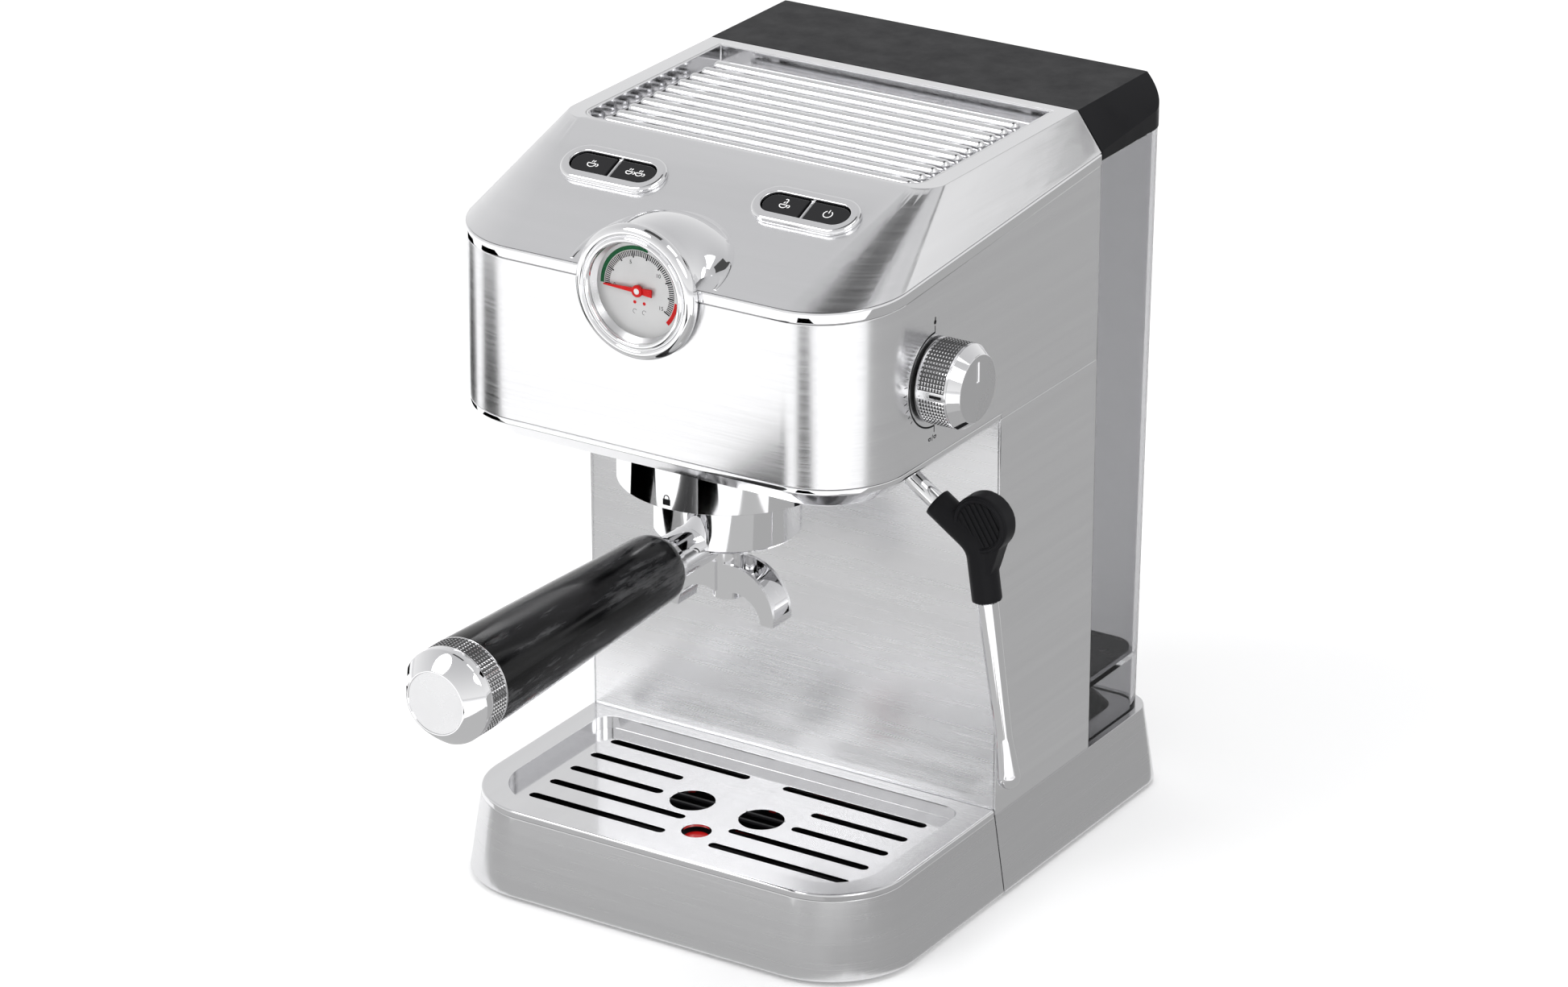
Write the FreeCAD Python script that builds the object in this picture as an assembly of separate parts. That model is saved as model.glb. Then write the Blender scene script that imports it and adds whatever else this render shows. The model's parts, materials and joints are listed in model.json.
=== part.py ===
"""Espresso machine with a pump, a removable drip tray and water tank, and a bayonet portafilter.

Millimetres. +Z is up, -Y is the front, and +X is the user's right. The origin is on the surface that
the machine stands on, in its plane of symmetry, midway between the front and the back of the base.
"""
import FreeCAD, Part
import math
import os
from FreeCAD import Matrix, Placement, Rotation, Vector

os.makedirs("parts", exist_ok=True)

# ---------------------------------------------------------------- overall sizes
body_width = 200.0
head_front_y = -125.5
column_front_y = -15.0
tank_front_y = 63.0
body_back_y = 121.5
base_front_y = -122.5
foot_h = 2.0
base_top_z = 36.0
head_bottom_z = 213.0
belt_front_z = 284.0
top_z = 319.0

# ---------------------------------------------------------------- sheets, walls and clearances
steel_t = 1.2
wall_t = 2.5
thin_t = 2.0
move_gap = 0.3
run_gap = 0.05
seat_gap = 0.15

# ---------------------------------------------------------------- base and drip tray
base_flare = 5.2
base_front_r = 34.0
base_back_r = 14.0
chassis_t = 3.0
tongue_inset = 12.0
foot_strip_w = 8.0
foot_pad_r = 10.0
tray_floor_z = 6.0
basin_wall = 2.0
grate_rim_t = 2.8
grate_recess_depth = 5.5
recess_margin = 11.0
recess_front_r = 24.0
recess_back_r = 8.0
slot_w = 4.4
slot_pitch = 15.3
first_slot_y = -34.0
slot_end_margin = 22.0
slot_inner_x = (8.5, 32.0, 32.0, 11.0, 11.0)
drain_hole_x = 17.0
drain_hole_r = 9.6
float_hole_y = -87.8
float_hole_r = 6.3
float_gap = 0.8
float_post_r = 1.8
screw_r = 1.5
screw_head_r = 3.0
screw_post_r = 5.0
screen_screw_r = 2.0

# ---------------------------------------------------------------- head, belt and hood
head_corner_r = 36.0
trim_h = 2.5
pan_drop = 8.0
belt_h = 5.2
belt_slope = 0.0725
belt_proud = 0.6
hood_side_run = 11.5
hood_top_front_y = -52.0
hood_top_front_r = 11.0
hood_wall = 2.4
cup_recess_border = 7.8
cup_recess_front_y = -49.3
cup_recess_back_y = 57.5
cup_recess_front_r = 9.0
cup_recess_depth = 8.2
rail_r = 2.5
rail_count = 10
rail_side_margin = 9.7
rail_end_margin = 8.8

# ---------------------------------------------------------------- pressure gauge
gauge_z = 284.0
gauge_r = 25.0
gauge_back_y = -98.0
bezel_overhang = 3.0
bezel_depth = 6.5
dial_margin = 5.0
dial_t = 1.0
needle_margin = 4.0
movement_margin = 8.0
shroud_flare = 1.31
shroud_crown = 0.34
shroud_rise = 0.72
shroud_up_slope = 6.0
needle_shaft_r = 0.8

# ---------------------------------------------------------------- buttons
button_x = 45.3
button_y = -75.5
button_bezel_len = 48.5
button_bezel_w = 21.0
button_open_len = 40.0
button_open_w = 12.0
button_bar_w = 1.6
button_bezel_h = 2.4
button_travel = 1.5

# ---------------------------------------------------------------- steam knob and wand
knob_y = -68.0
knob_z = 248.3
knob_r = 17.4
knob_body_len = 14.0
knob_cap_len = 4.6
knob_face_r = 13.8
spindle_r = 3.0
wand_inset = 21.5
wand_y = -52.0
wand_elbow_z = 198.0
wand_elbow_bend = 7.0
wand_knee_bend = 9.0
wand_knee_reach = 34.1
wand_knee_z = 174.8
wand_tip_reach = 49.4
wand_tip_z = 71.0
wand_tube_r = 4.0
wand_inner_r = 2.5
grip_r = 6.2
grip_start_reach = 13.5
grip_end_z = 151.2
thumb_tab_reach = 35.7
thumb_tab_z = 184.7
thumb_tab_r = 12.3
thumb_tab_t = 9.0
sleeve_top_r = 4.4
sleeve_low_r = 3.5
sleeve_bulb_r = 5.0

# ---------------------------------------------------------------- brew group and portafilter
collar_wall = 6.5
collar_back_gap = 2.9
collar_low_z = 184.6
collar_roof_t = 3.2
lug_reach = 8.1
lug_h = 4.0
lug_half_angle = 18.0
gasket_h = 8.0
bowl_wall = 2.5
bowl_low_z = 161.0
basket_r = 28.0
basket_t = 0.6
handle_z = 162.0
neck_r = 9.4
grip_reach = 51.5
grip_len = 133.3
grip_small_r = 14.5
grip_large_r = 19.4
ring_len = 10.2
cap_len = 10.5
cap_face_r = 13.0
bolt_r = 3.0
spout_boss_r = 6.4
spout_boss_low_z = 131.0
spout_arm_half = 7.0
spout_arm_wall = 1.6

# ---------------------------------------------------------------- water tank and pump
tank_floor_rise = 24.0
tank_wall = 2.5
tank_back_r = 14.0
tank_taper = 2.4
lid_low_z = 299.5
lid_side_front_z = 303.0
lid_side_back_z = 309.0
hinge_pin_r = 1.3
hinge_knuckle_r = 3.0
hinge_half_len = 30.0
hinge_lid_half_len = 18.0
tank_boss_r = 7.0
pump_body = (60.0, 36.0, 34.0)
pump_centre = (-45.0, 23.0)
mount_h = 12.0

# ---------------------------------------------------------------- values worked out from these
half_w = body_width / 2
top_half_w = half_w - hood_side_run
cup_recess_half_w = top_half_w - cup_recess_border
rail_half_len = cup_recess_half_w - rail_side_margin
slope_run = hood_top_front_y - head_front_y
belt_top_front_z = belt_front_z + belt_h
slope_rise = top_z - belt_top_front_z
slope_deg = math.degrees(math.atan2(slope_rise, slope_run))
pan_low_z = head_bottom_z - pan_drop
bowl_r = basket_r + bowl_wall
lug_r = bowl_r + lug_reach
collar_r = lug_r + collar_wall
collar_boss_r = collar_r - 8.1
roof_bore_r = basket_r - 2.0
group_y = column_front_y - collar_back_gap - collar_r
grip_back_y = group_y - grip_reach
grip_front_y = grip_back_y - grip_len
collar_roof_z = pan_low_z - collar_roof_t
gasket_low_z = collar_roof_z - gasket_h
screen_low_z = gasket_low_z + 1.5
bowl_rim_z = gasket_low_z - move_gap
lug_top_z = bowl_rim_z - 0.8
lug_low_z = lug_top_z - lug_h
tray_back_y = column_front_y - 0.4
grate_top_z = base_top_z + grate_rim_t
recess_floor_z = grate_top_z - grate_recess_depth
bezel_front_y = head_front_y - bezel_depth
bezel_back_y = head_front_y - belt_proud - 0.3
dial_y = bezel_back_y + 0.5
bezel_r = gauge_r + bezel_overhang
dial_r = gauge_r - dial_margin
glass_r = dial_r + 2.5
needle_len = dial_r - needle_margin
movement_r = gauge_r - movement_margin
wand_x = half_w - wand_inset
wand_knee_x = wand_x + wand_knee_reach
wand_tip_x = wand_x + wand_tip_reach
tank_floor_z = base_top_z + tank_floor_rise
slot_outer_x = half_w - slot_end_margin


# ================================================================ plain shapes
def box(x0, x1, y0, y1, z0, z1):
    return Part.makeBox(x1 - x0, y1 - y0, z1 - z0, Vector(x0, y0, z0))


def rod(radius, start, end):
    """Cylinder from one point to another."""
    a = Vector(*start)
    b = Vector(*end)
    return Part.makeCylinder(radius, (b - a).Length, a, b - a)


def cone(r_start, r_end, start, end):
    a = Vector(*start)
    b = Vector(*end)
    return Part.makeCone(r_start, r_end, (b - a).Length, a, b - a)


def fuse(shapes):
    result = shapes[0].multiFuse(shapes[1:])
    return result.removeSplitter()


def group_of(shapes):
    """Separate solids that share one node."""
    return Part.makeCompound(shapes)


def outline(half, y_front, y_back, z, r_front, r_back=0.0):
    """Closed plan outline, symmetric about X = 0, with rounded front and rear corners."""
    k = math.sqrt(0.5)
    edges = []

    def line(x0, y0, x1, y1):
        edges.append(Part.LineSegment(Vector(x0, y0, z), Vector(x1, y1, z)).toShape())

    def corner(cx, cy, sx, sy, r, clockwise):
        on_x = Vector(cx + sx * r, cy, z)
        on_y = Vector(cx, cy + sy * r, z)
        middle = Vector(cx + sx * r * k, cy + sy * r * k, z)
        ends = (on_x, on_y) if clockwise else (on_y, on_x)
        edges.append(Part.Arc(ends[0], middle, ends[1]).toShape())

    line(-half + r_front, y_front, half - r_front, y_front)
    corner(half - r_front, y_front + r_front, 1, -1, r_front, False)
    line(half, y_front + r_front, half, y_back - r_back)
    if r_back:
        corner(half - r_back, y_back - r_back, 1, 1, r_back, True)
    line(half - r_back, y_back, -half + r_back, y_back)
    if r_back:
        corner(-half + r_back, y_back - r_back, -1, 1, r_back, False)
    line(-half, y_back - r_back, -half, y_front + r_front)
    corner(-half + r_front, y_front + r_front, -1, -1, r_front, True)
    return Part.Wire(edges)


def prism(wire, height):
    return Part.Face(wire).extrude(Vector(0, 0, height))


def loft(low, high):
    return Part.makeLoft([low, high], True, True)


def sheared(shape, rise=0.0):
    """The shape lifted along the slope of the belt, which rises towards the back."""
    slope = Matrix()
    slope.A32 = belt_slope
    slope.A34 = rise - belt_slope * head_front_y
    return shape.transformGeometry(slope)


def below_belt(rise, depth=400.0):
    """Everything below the sloping plane that passes through the front of the belt plus rise."""
    size = 2 * depth
    block = box(-depth, depth, -depth, depth, -size, 0)
    return sheared(block, belt_front_z + rise)


def slot(x0, x1, y, width, z0, z1):
    """Long hole with round ends along X."""
    r = width / 2
    return fuse([
        box(x0 + r, x1 - r, y - r, y + r, z0, z1),
        rod(r, (x0 + r, y, z0), (x0 + r, y, z1)),
        rod(r, (x1 - r, y, z0), (x1 - r, y, z1)),
    ])


def pipe(points, radius, bends):
    """Round pipe along straight runs joined by tangent arcs, one bend radius for each corner."""
    p = [Vector(*q) for q in points]
    edges = []
    start = p[0]
    for before, at, after, bend in zip(p, p[1:], p[2:], bends):
        into = (at - before).normalize()
        out = (after - at).normalize()
        turn = into.getAngle(out)
        reach = bend * math.tan(turn / 2)
        first = at - into * reach
        last = at + out * reach
        inward = (out - into).normalize()
        centre = at + inward * (bend / math.cos(turn / 2))
        middle = centre - inward * bend
        edges.append(Part.LineSegment(start, first).toShape())
        edges.append(Part.Arc(first, middle, last).toShape())
        start = last
    edges.append(Part.LineSegment(start, p[-1]).toShape())
    path = Part.Wire(edges)
    ring = Part.Wire(Part.makeCircle(radius, p[0], (p[1] - p[0]).normalize()))
    return path.makePipeShell([ring], True, True)


def revolved_z(profile, centre_y):
    """Solid of revolution about the vertical axis at X = 0 and the given Y, from (radius, z) points."""
    points = [Vector(r, centre_y, z) for r, z in profile]
    face = Part.Face(Part.makePolygon(points + points[:1]))
    return face.revolve(Vector(0, centre_y, 0), Vector(0, 0, 1), 360)


def revolved_y(profile, centre_z):
    """Solid of revolution about the axis along Y at X = 0, from (radius, y) points."""
    points = [Vector(r, y, centre_z) for r, y in profile]
    face = Part.Face(Part.makePolygon(points + points[:1]))
    return face.revolve(Vector(0, 0, centre_z), Vector(0, 1, 0), 360)


# ================================================================ base
def base_block(inset, z_low, z_high):
    """The flared base between two heights, drawn in by inset all round."""
    def at(z):
        flare = base_flare * (base_top_z - z) / (base_top_z - foot_h)
        grow = flare - inset
        return outline(half_w + grow, base_front_y - grow, body_back_y + grow, z,
                       base_front_r + grow, base_back_r + grow)
    return loft(at(z_low), at(z_high))


chassis_inset = wall_t + 1.2
chassis_top_z = foot_h + chassis_t
tongue_front_y = base_front_y + tongue_inset + 4.0
tongue_half = half_w - tongue_inset
post_x = half_w - 22.0
post_y = (column_front_y + 20.0, body_back_y - 22.0)
gland_x = 60.0
gland_z = 18.0
gland_r = 5.0


def post_places():
    return [(sx * post_x, y) for sx in (-1, 1) for y in post_y]


def make_chassis_base():
    grow = base_flare - chassis_inset
    rear = prism(outline(half_w + grow, column_front_y + 1.0, body_back_y + grow, foot_h,
                         0.5, base_back_r + grow), chassis_t)
    tongue = prism(outline(tongue_half, tongue_front_y, column_front_y + 2.0, foot_h,
                           base_front_r - tongue_inset), chassis_t)
    plate = fuse([rear, tongue])
    for x, y in post_places():
        plate = plate.cut(rod(screw_head_r + run_gap, (x, y, foot_h), (x, y, foot_h + 1.5)))
        plate = plate.cut(rod(screw_r + run_gap, (x, y, foot_h), (x, y, chassis_top_z)))
    return plate


def make_foot_ring():
    """One rubber strip round the edge of the chassis, with a wider pad at each corner."""
    half = tongue_half - 6.0
    y0 = tongue_front_y + 6.0
    y1 = body_back_y - 8.0
    r_out = base_back_r
    ring = prism(outline(half, y0, y1, 0, r_out, r_out), foot_h)
    hole = prism(outline(half - foot_strip_w, y0 + foot_strip_w, y1 - foot_strip_w, 0,
                         r_out - foot_strip_w, r_out - foot_strip_w), foot_h)
    ring = ring.cut(hole)
    pads = []
    for sx in (-1, 1):
        for y in (y0 + foot_pad_r + 2.0, y1 - foot_pad_r - 2.0):
            x = sx * (half - foot_pad_r)
            pads.append(rod(foot_pad_r, (x, y, 0), (x, y, foot_h)))
    return fuse([ring] + pads)


def make_rear_base_shell():
    shell = base_block(0, foot_h, base_top_z).cut(base_block(wall_t, foot_h, base_top_z - wall_t))
    front = box(-body_width, body_width, -body_width, column_front_y, 0, base_top_z + 1)
    shell = shell.cut(front)
    posts = []
    for x, y in post_places():
        post = rod(screw_post_r, (x, y, chassis_top_z), (x, y, base_top_z - wall_t / 2))
        posts.append(post.cut(rod(screw_r + run_gap, (x, y, chassis_top_z), (x, y, base_top_z - wall_t))))
    shell = fuse([shell] + posts)
    shell = shell.cut(rod(tank_boss_r + 1.0, (0, tank_mid_y, base_top_z - 2 * wall_t),
                          (0, tank_mid_y, base_top_z + 1)))
    return shell.cut(rod(gland_r, (gland_x, body_back_y - 10.0, gland_z),
                         (gland_x, body_back_y + 10.0, gland_z)))


def make_screws():
    """Four screws up into the base shell's posts, and the one that holds the shower screen."""
    screws = []
    for x, y in post_places():
        head = rod(screw_head_r, (x, y, foot_h + 0.2), (x, y, foot_h + 1.5))
        shank = rod(screw_r, (x, y, foot_h + 1.5), (x, y, chassis_top_z + 14.0))
        screws.append(fuse([head, shank]))
    head = rod(4.0, (0, group_y, screen_low_z - 1.4), (0, group_y, screen_low_z))
    shank = rod(screen_screw_r, (0, group_y, screen_low_z), (0, group_y, collar_roof_z + 6.0))
    screws.append(fuse([head, shank]))
    return group_of(screws)


def make_cord_gland():
    inner_wall_y = body_back_y - wall_t
    sleeve = rod(gland_r, (gland_x, inner_wall_y - 5.0, gland_z),
                 (gland_x, body_back_y + base_flare - 0.5, gland_z))
    flange = rod(gland_r + 2.5, (gland_x, inner_wall_y - 5.0, gland_z),
                 (gland_x, inner_wall_y - 2.0, gland_z))
    bore = rod(gland_r - 1.6, (gland_x, inner_wall_y - 6.0, gland_z),
               (gland_x, body_back_y + base_flare + 1.0, gland_z))
    return fuse([sleeve, flange]).cut(bore)


# ================================================================ drip tray
tray_pocket_half = half_w - 4.0
tray_pocket_front_y = base_front_y + 4.0
basin_half = tray_pocket_half - 3.0
basin_front_y = tray_pocket_front_y + 3.0
basin_back_y = tray_back_y - 2.5
basin_low_z = tray_floor_z + 2.0
basin_floor_z = basin_low_z + basin_wall
recess_half = half_w - recess_margin
recess_front_y = base_front_y + recess_margin
recess_back_y = tray_back_y - 7.0
post_top_z = recess_floor_z - 9.5


def make_drip_tray_shell():
    behind = box(-body_width, body_width, tray_back_y, body_width, 0, base_top_z + 1)
    shell = base_block(0, foot_h, base_top_z).cut(behind)
    pocket = prism(outline(tray_pocket_half, tray_pocket_front_y, column_front_y, basin_low_z,
                           base_front_r - 4.0), base_top_z)
    tongue_room = prism(outline(tongue_half + 1.0, tongue_front_y - 1.0, column_front_y, 0,
                                base_front_r - tongue_inset + 1.0), tray_floor_z)
    return shell.cut(pocket).cut(tongue_room)


def make_drip_basin():
    r = base_front_r - 7.0
    outer = prism(outline(basin_half, basin_front_y, basin_back_y, basin_low_z, r, 4.0),
                  base_top_z - basin_low_z)
    inner = prism(outline(basin_half - basin_wall, basin_front_y + basin_wall,
                          basin_back_y - basin_wall, basin_floor_z, r - basin_wall,
                          4.0 - basin_wall), base_top_z)
    post = rod(float_post_r, (0, float_hole_y, basin_floor_z - 0.5), (0, float_hole_y, post_top_z))
    return fuse([outer.cut(inner), post])


def grate_cutters():
    z0 = recess_floor_z - 3.0
    z1 = grate_top_z + 1.0
    cutters = []
    for row, inner in enumerate(slot_inner_x):
        y = first_slot_y - row * slot_pitch
        cutters.append(slot(-slot_outer_x, -inner, y, slot_w, z0, z1))
        cutters.append(slot(inner, slot_outer_x, y, slot_w, z0, z1))
    hole_y = first_slot_y - 2 * slot_pitch
    for x in (-drain_hole_x, drain_hole_x):
        cutters.append(rod(drain_hole_r, (x, hole_y, z0), (x, hole_y, z1)))
    cutters.append(rod(float_hole_r, (0, float_hole_y, z0), (0, float_hole_y, z1)))
    return cutters


def make_drip_grate():
    """Pressed steel plate: a raised rim all round and a sunken floor with slots."""
    rim = prism(outline(half_w, base_front_y, tray_back_y, base_top_z, base_front_r, 1.0), grate_rim_t)
    rim = rim.makeFillet(1.0, [e for e in rim.Edges if e.BoundBox.ZMin > grate_top_z - 0.1])
    low = recess_floor_z - steel_t
    tub = prism(outline(recess_half + steel_t, recess_front_y - steel_t, recess_back_y + steel_t,
                        low, recess_front_r + steel_t, recess_back_r + steel_t), base_top_z - low)
    hollow = prism(outline(recess_half, recess_front_y, recess_back_y, recess_floor_z,
                           recess_front_r, recess_back_r), grate_recess_depth + 1.0)
    plate = fuse([rim, tub]).cut(hollow)
    for cutter in grate_cutters():
        plate = plate.cut(cutter)
    return plate


def make_tray_float():
    """Red float that rides up its post and shows through the grate when the tray is full."""
    r = float_hole_r - float_gap
    low = basin_floor_z + 1.0
    button = rod(r, (0, float_hole_y, low), (0, float_hole_y, recess_floor_z - 3.0))
    chamber = rod(2 * r, (0, float_hole_y, low), (0, float_hole_y, low + 8.0))
    bore = rod(float_post_r + 2 * run_gap, (0, float_hole_y, low), (0, float_hole_y, post_top_z + 1.0))
    return fuse([button, chamber]).cut(bore)


# ================================================================ column
tank_mid_y = (tank_front_y + body_back_y) / 2
bulkhead_t = 3.0


def make_column_front_panel():
    return box(-half_w + steel_t, half_w - steel_t, column_front_y, column_front_y + steel_t,
               base_top_z, head_bottom_z)


def make_column_side(side):
    inner = side * (half_w - steel_t)
    outer = side * half_w
    return box(min(inner, outer), max(inner, outer), column_front_y, tank_front_y,
               base_top_z, head_bottom_z)


def make_rear_bulkhead():
    half = half_w - steel_t
    y0 = tank_front_y - bulkhead_t
    top = belt_front_z + belt_slope * (y0 - head_front_y) - 0.4
    return box(-half, half, y0, tank_front_y, base_top_z, top)


# ================================================================ head
def head_plan(inset, z, y_back):
    return outline(half_w - inset, head_front_y + inset, y_back, z, head_corner_r - inset)


def gauge_hole():
    return rod(gauge_r + seat_gap, (0, 2 * head_front_y, gauge_z), (0, gauge_back_y, gauge_z))


def make_head_shell():
    height = top_z - head_bottom_z
    wall = prism(head_plan(0, head_bottom_z, tank_front_y), height)
    wall = wall.cut(prism(head_plan(steel_t, head_bottom_z, tank_front_y + 1.0), height))
    wall = wall.common(below_belt(0))
    step = box(-body_width, body_width, 2 * head_front_y, column_front_y,
               head_bottom_z - 1.0, head_bottom_z + trim_h)
    spindle_hole = rod(spindle_r + 2.0, (half_w - 5.0, knob_y, knob_z), (half_w + 5.0, knob_y, knob_z))
    return wall.cut(step).cut(gauge_hole()).cut(spindle_hole)


def make_head_bottom_trim():
    ring = prism(head_plan(0, head_bottom_z, column_front_y), trim_h)
    return ring.cut(prism(head_plan(steel_t, head_bottom_z, column_front_y + 1.0), trim_h))


def pan_block(inset):
    """Dished underside: a chamfer all round, then a flange that stands inside the shell."""
    edge = steel_t + inset
    low = loft(head_plan(edge + pan_drop, pan_low_z + inset, column_front_y - inset),
               head_plan(edge, head_bottom_z + inset, column_front_y - inset))
    flange = prism(head_plan(edge, head_bottom_z + inset, column_front_y - inset), trim_h + 2.0)
    return fuse([low, flange])


def make_head_pan():
    pan = pan_block(0).cut(pan_block(thin_t))
    group_hole = rod(collar_boss_r + seat_gap, (0, group_y, pan_low_z - 1.0), (0, group_y, head_bottom_z))
    wand_hole = rod(socket_neck_r, (wand_x, wand_y, pan_low_z - 1.0), (wand_x, wand_y, head_bottom_z))
    return pan.cut(group_hole).cut(wand_hole)


def make_belt_trim():
    outer = prism(head_plan(-belt_proud, 0, tank_front_y), belt_h)
    inner = prism(head_plan(hood_wall, 0, tank_front_y + 1.0), belt_h)
    ring = sheared(outer.cut(inner), belt_front_z)
    return ring.cut(gauge_hole())


def hood_block(inset, drop):
    """Frustum of the hood, from the belt's top edge to the flat top, drawn in by inset."""
    low = sheared(head_plan(inset, 0, tank_front_y - inset), belt_top_front_z - drop * 0.7)
    high = outline(top_half_w - inset, hood_top_front_y + inset * 0.2, tank_front_y - inset,
                   top_z - drop, hood_top_front_r)
    return loft(low, high)


def cup_recess_plan(inset, z):
    return outline(cup_recess_half_w - inset, cup_recess_front_y + inset, cup_recess_back_y - inset, z,
                   cup_recess_front_r - inset)


def make_hood():
    hood = hood_block(0, 0).cut(hood_block(hood_wall, thin_t))
    hood = hood.cut(prism(cup_recess_plan(0, top_z - cup_recess_depth), 2 * cup_recess_depth))
    hood = hood.cut(gauge_hole())
    for side in (-1, 1):
        opening = pill(button_open_len + 4.0, button_open_w + 4.0, -3 * thin_t, 3 * thin_t)
        hood = hood.cut(on_slope(opening, side))
    return hood


def make_cup_tray():
    low = top_z - cup_recess_depth
    tray = prism(cup_recess_plan(0, low), cup_recess_depth)
    return tray.cut(prism(cup_recess_plan(steel_t, low + steel_t), cup_recess_depth))


def make_cup_rails():
    """Ten round bars across the recess, welded to two carriers."""
    floor_z = top_z - cup_recess_depth + steel_t
    y0 = cup_recess_front_y + rail_end_margin
    pitch = (cup_recess_back_y - rail_end_margin * 1.8 - y0) / (rail_count - 1)
    z = floor_z + rail_r + 0.4
    pieces = []
    for i in range(rail_count):
        y = y0 + i * pitch
        pieces.append(rod(rail_r, (-rail_half_len, y, z), (rail_half_len, y, z)))
        for x in (-rail_half_len, rail_half_len):
            pieces.append(Part.makeSphere(rail_r, Vector(x, y, z)))
    for side in (-1, 1):
        x = side * (rail_half_len - 10.0)
        pieces.append(box(x - 2.0, x + 2.0, y0 - 1.0, y0 + pitch * (rail_count - 1) + 1.0, floor_z, z))
    return fuse(pieces)


# ================================================================ gauge
dial_back_y = dial_y + dial_t
glass_t = 1.5
glass_front_y = bezel_front_y + 2.0


def shroud_block():
    """Blunt cone that stands on the hood's slope and closes over the top of the gauge's can."""
    lean = math.radians(slope_deg)
    foot_y = head_front_y + shroud_up_slope * math.cos(lean)
    foot_z = belt_top_front_z + shroud_up_slope * math.sin(lean)
    rise = gauge_r * shroud_rise
    top = (0, foot_y - rise * math.sin(lean), foot_z + rise * math.cos(lean))
    return cone(gauge_r * shroud_flare, gauge_r * shroud_crown, (0, foot_y, foot_z), top)


def make_gauge_housing():
    """Can for the dial and the movement, with the shroud that leans back onto the hood."""
    can = rod(gauge_r, (0, bezel_back_y, gauge_z), (0, gauge_back_y, gauge_z))
    room = rod(gauge_r - thin_t, (0, bezel_back_y, gauge_z), (0, gauge_back_y - thin_t, gauge_z))
    belt_edge_z = belt_top_front_z + belt_slope * hood_wall
    under_belt = box(-body_width, body_width, 2 * head_front_y, head_front_y + hood_wall, 0, belt_edge_z)
    before_bezel = box(-body_width, body_width, 2 * head_front_y, bezel_back_y, 0, 2 * gauge_z)
    shroud = shroud_block().cut(under_belt).cut(before_bezel)
    return fuse([can, shroud]).cut(room)


def make_gauge_bezel():
    """Turned ring on the front of the housing; it holds the glass over the dial."""
    profile = [
        (dial_r + 0.6, bezel_front_y + 1.2),
        (dial_r + 2.0, bezel_front_y),
        (bezel_r - 2.5, bezel_front_y),
        (bezel_r, bezel_front_y + 2.5),
        (bezel_r, bezel_back_y),
        (glass_r, bezel_back_y),
        (glass_r, glass_front_y),
        (dial_r + 0.6, glass_front_y),
    ]
    return revolved_y(profile, gauge_z)


def make_gauge_glass():
    return rod(glass_r - seat_gap, (0, glass_front_y, gauge_z), (0, glass_front_y + glass_t, gauge_z))


def make_gauge_dial():
    dial = rod(glass_r - seat_gap, (0, dial_y, gauge_z), (0, dial_y + dial_t, gauge_z))
    return dial.cut(rod(needle_shaft_r + 0.4, (0, dial_y - 1, gauge_z), (0, dial_y + 3, gauge_z)))


def make_gauge_movement():
    back_y = dial_back_y + 22.0
    can = rod(movement_r, (0, dial_back_y, gauge_z), (0, back_y, gauge_z))
    shaft_bore = rod(needle_shaft_r + run_gap, (0, dial_back_y - 1, gauge_z),
                     (0, dial_back_y + 6.0, gauge_z))
    stem = rod(4.0, (0, back_y, gauge_z), (0, gauge_back_y - thin_t, gauge_z))
    return fuse([can, stem]).cut(shaft_bore)


def make_gauge_needle():
    """Pointer at rest towards -X, a short counterweight tail, and its shaft."""
    y0 = dial_y - 1.6
    y1 = y0 + 0.7
    points = [(-needle_len, 0.25), (-2.0, 0.9), (6.5, 1.6), (6.5, -1.6), (-2.0, -0.9), (-needle_len, -0.25)]
    corners = [Vector(x, y0, gauge_z + z) for x, z in points]
    blade = Part.Face(Part.makePolygon(corners + corners[:1])).extrude(Vector(0, y1 - y0, 0))
    hub = rod(2.3, (0, y0 - 0.6, gauge_z), (0, y1 + 0.2, gauge_z))
    shaft = rod(needle_shaft_r, (0, y1, gauge_z), (0, dial_back_y + 5.5, gauge_z))
    return fuse([blade, hub, shaft])


# ================================================================ buttons on the slope
def on_slope(shape, side):
    """Puts a shape, drawn flat about the origin, on the hood's front slope, left or right."""
    z = belt_top_front_z + (button_y - head_front_y) * slope_rise / slope_run
    placed = shape.copy()
    placed.Placement = Placement(Vector(side * button_x, button_y, z),
                                 Rotation(Vector(1, 0, 0), slope_deg))
    return placed


def pill(length, width, z0, z1):
    return slot(-length / 2, length / 2, 0, width, z0, z1)


button_low = -4.0
button_top = 1.4


def make_button_bezel(side):
    flange = pill(button_bezel_len, button_bezel_w, 0, button_bezel_h)
    rim = [e for e in flange.Edges if e.BoundBox.ZMin > button_bezel_h - 0.1]
    flange = flange.makeFillet(button_bezel_h * 0.7, rim)
    neck = pill(button_open_len + 4.0 - 2 * seat_gap, button_open_w + 4.0 - 2 * seat_gap, -thin_t * 1.5, 0)
    frame = fuse([flange, neck])
    frame = frame.cut(pill(button_open_len, button_open_w, -3 * thin_t, 3 * thin_t))
    bar = box(-button_bar_w / 2, button_bar_w / 2, -button_open_w / 2 - 0.5, button_open_w / 2 + 0.5,
              -thin_t * 1.5, 0.8)
    return on_slope(fuse([frame, bar]), side)


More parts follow.
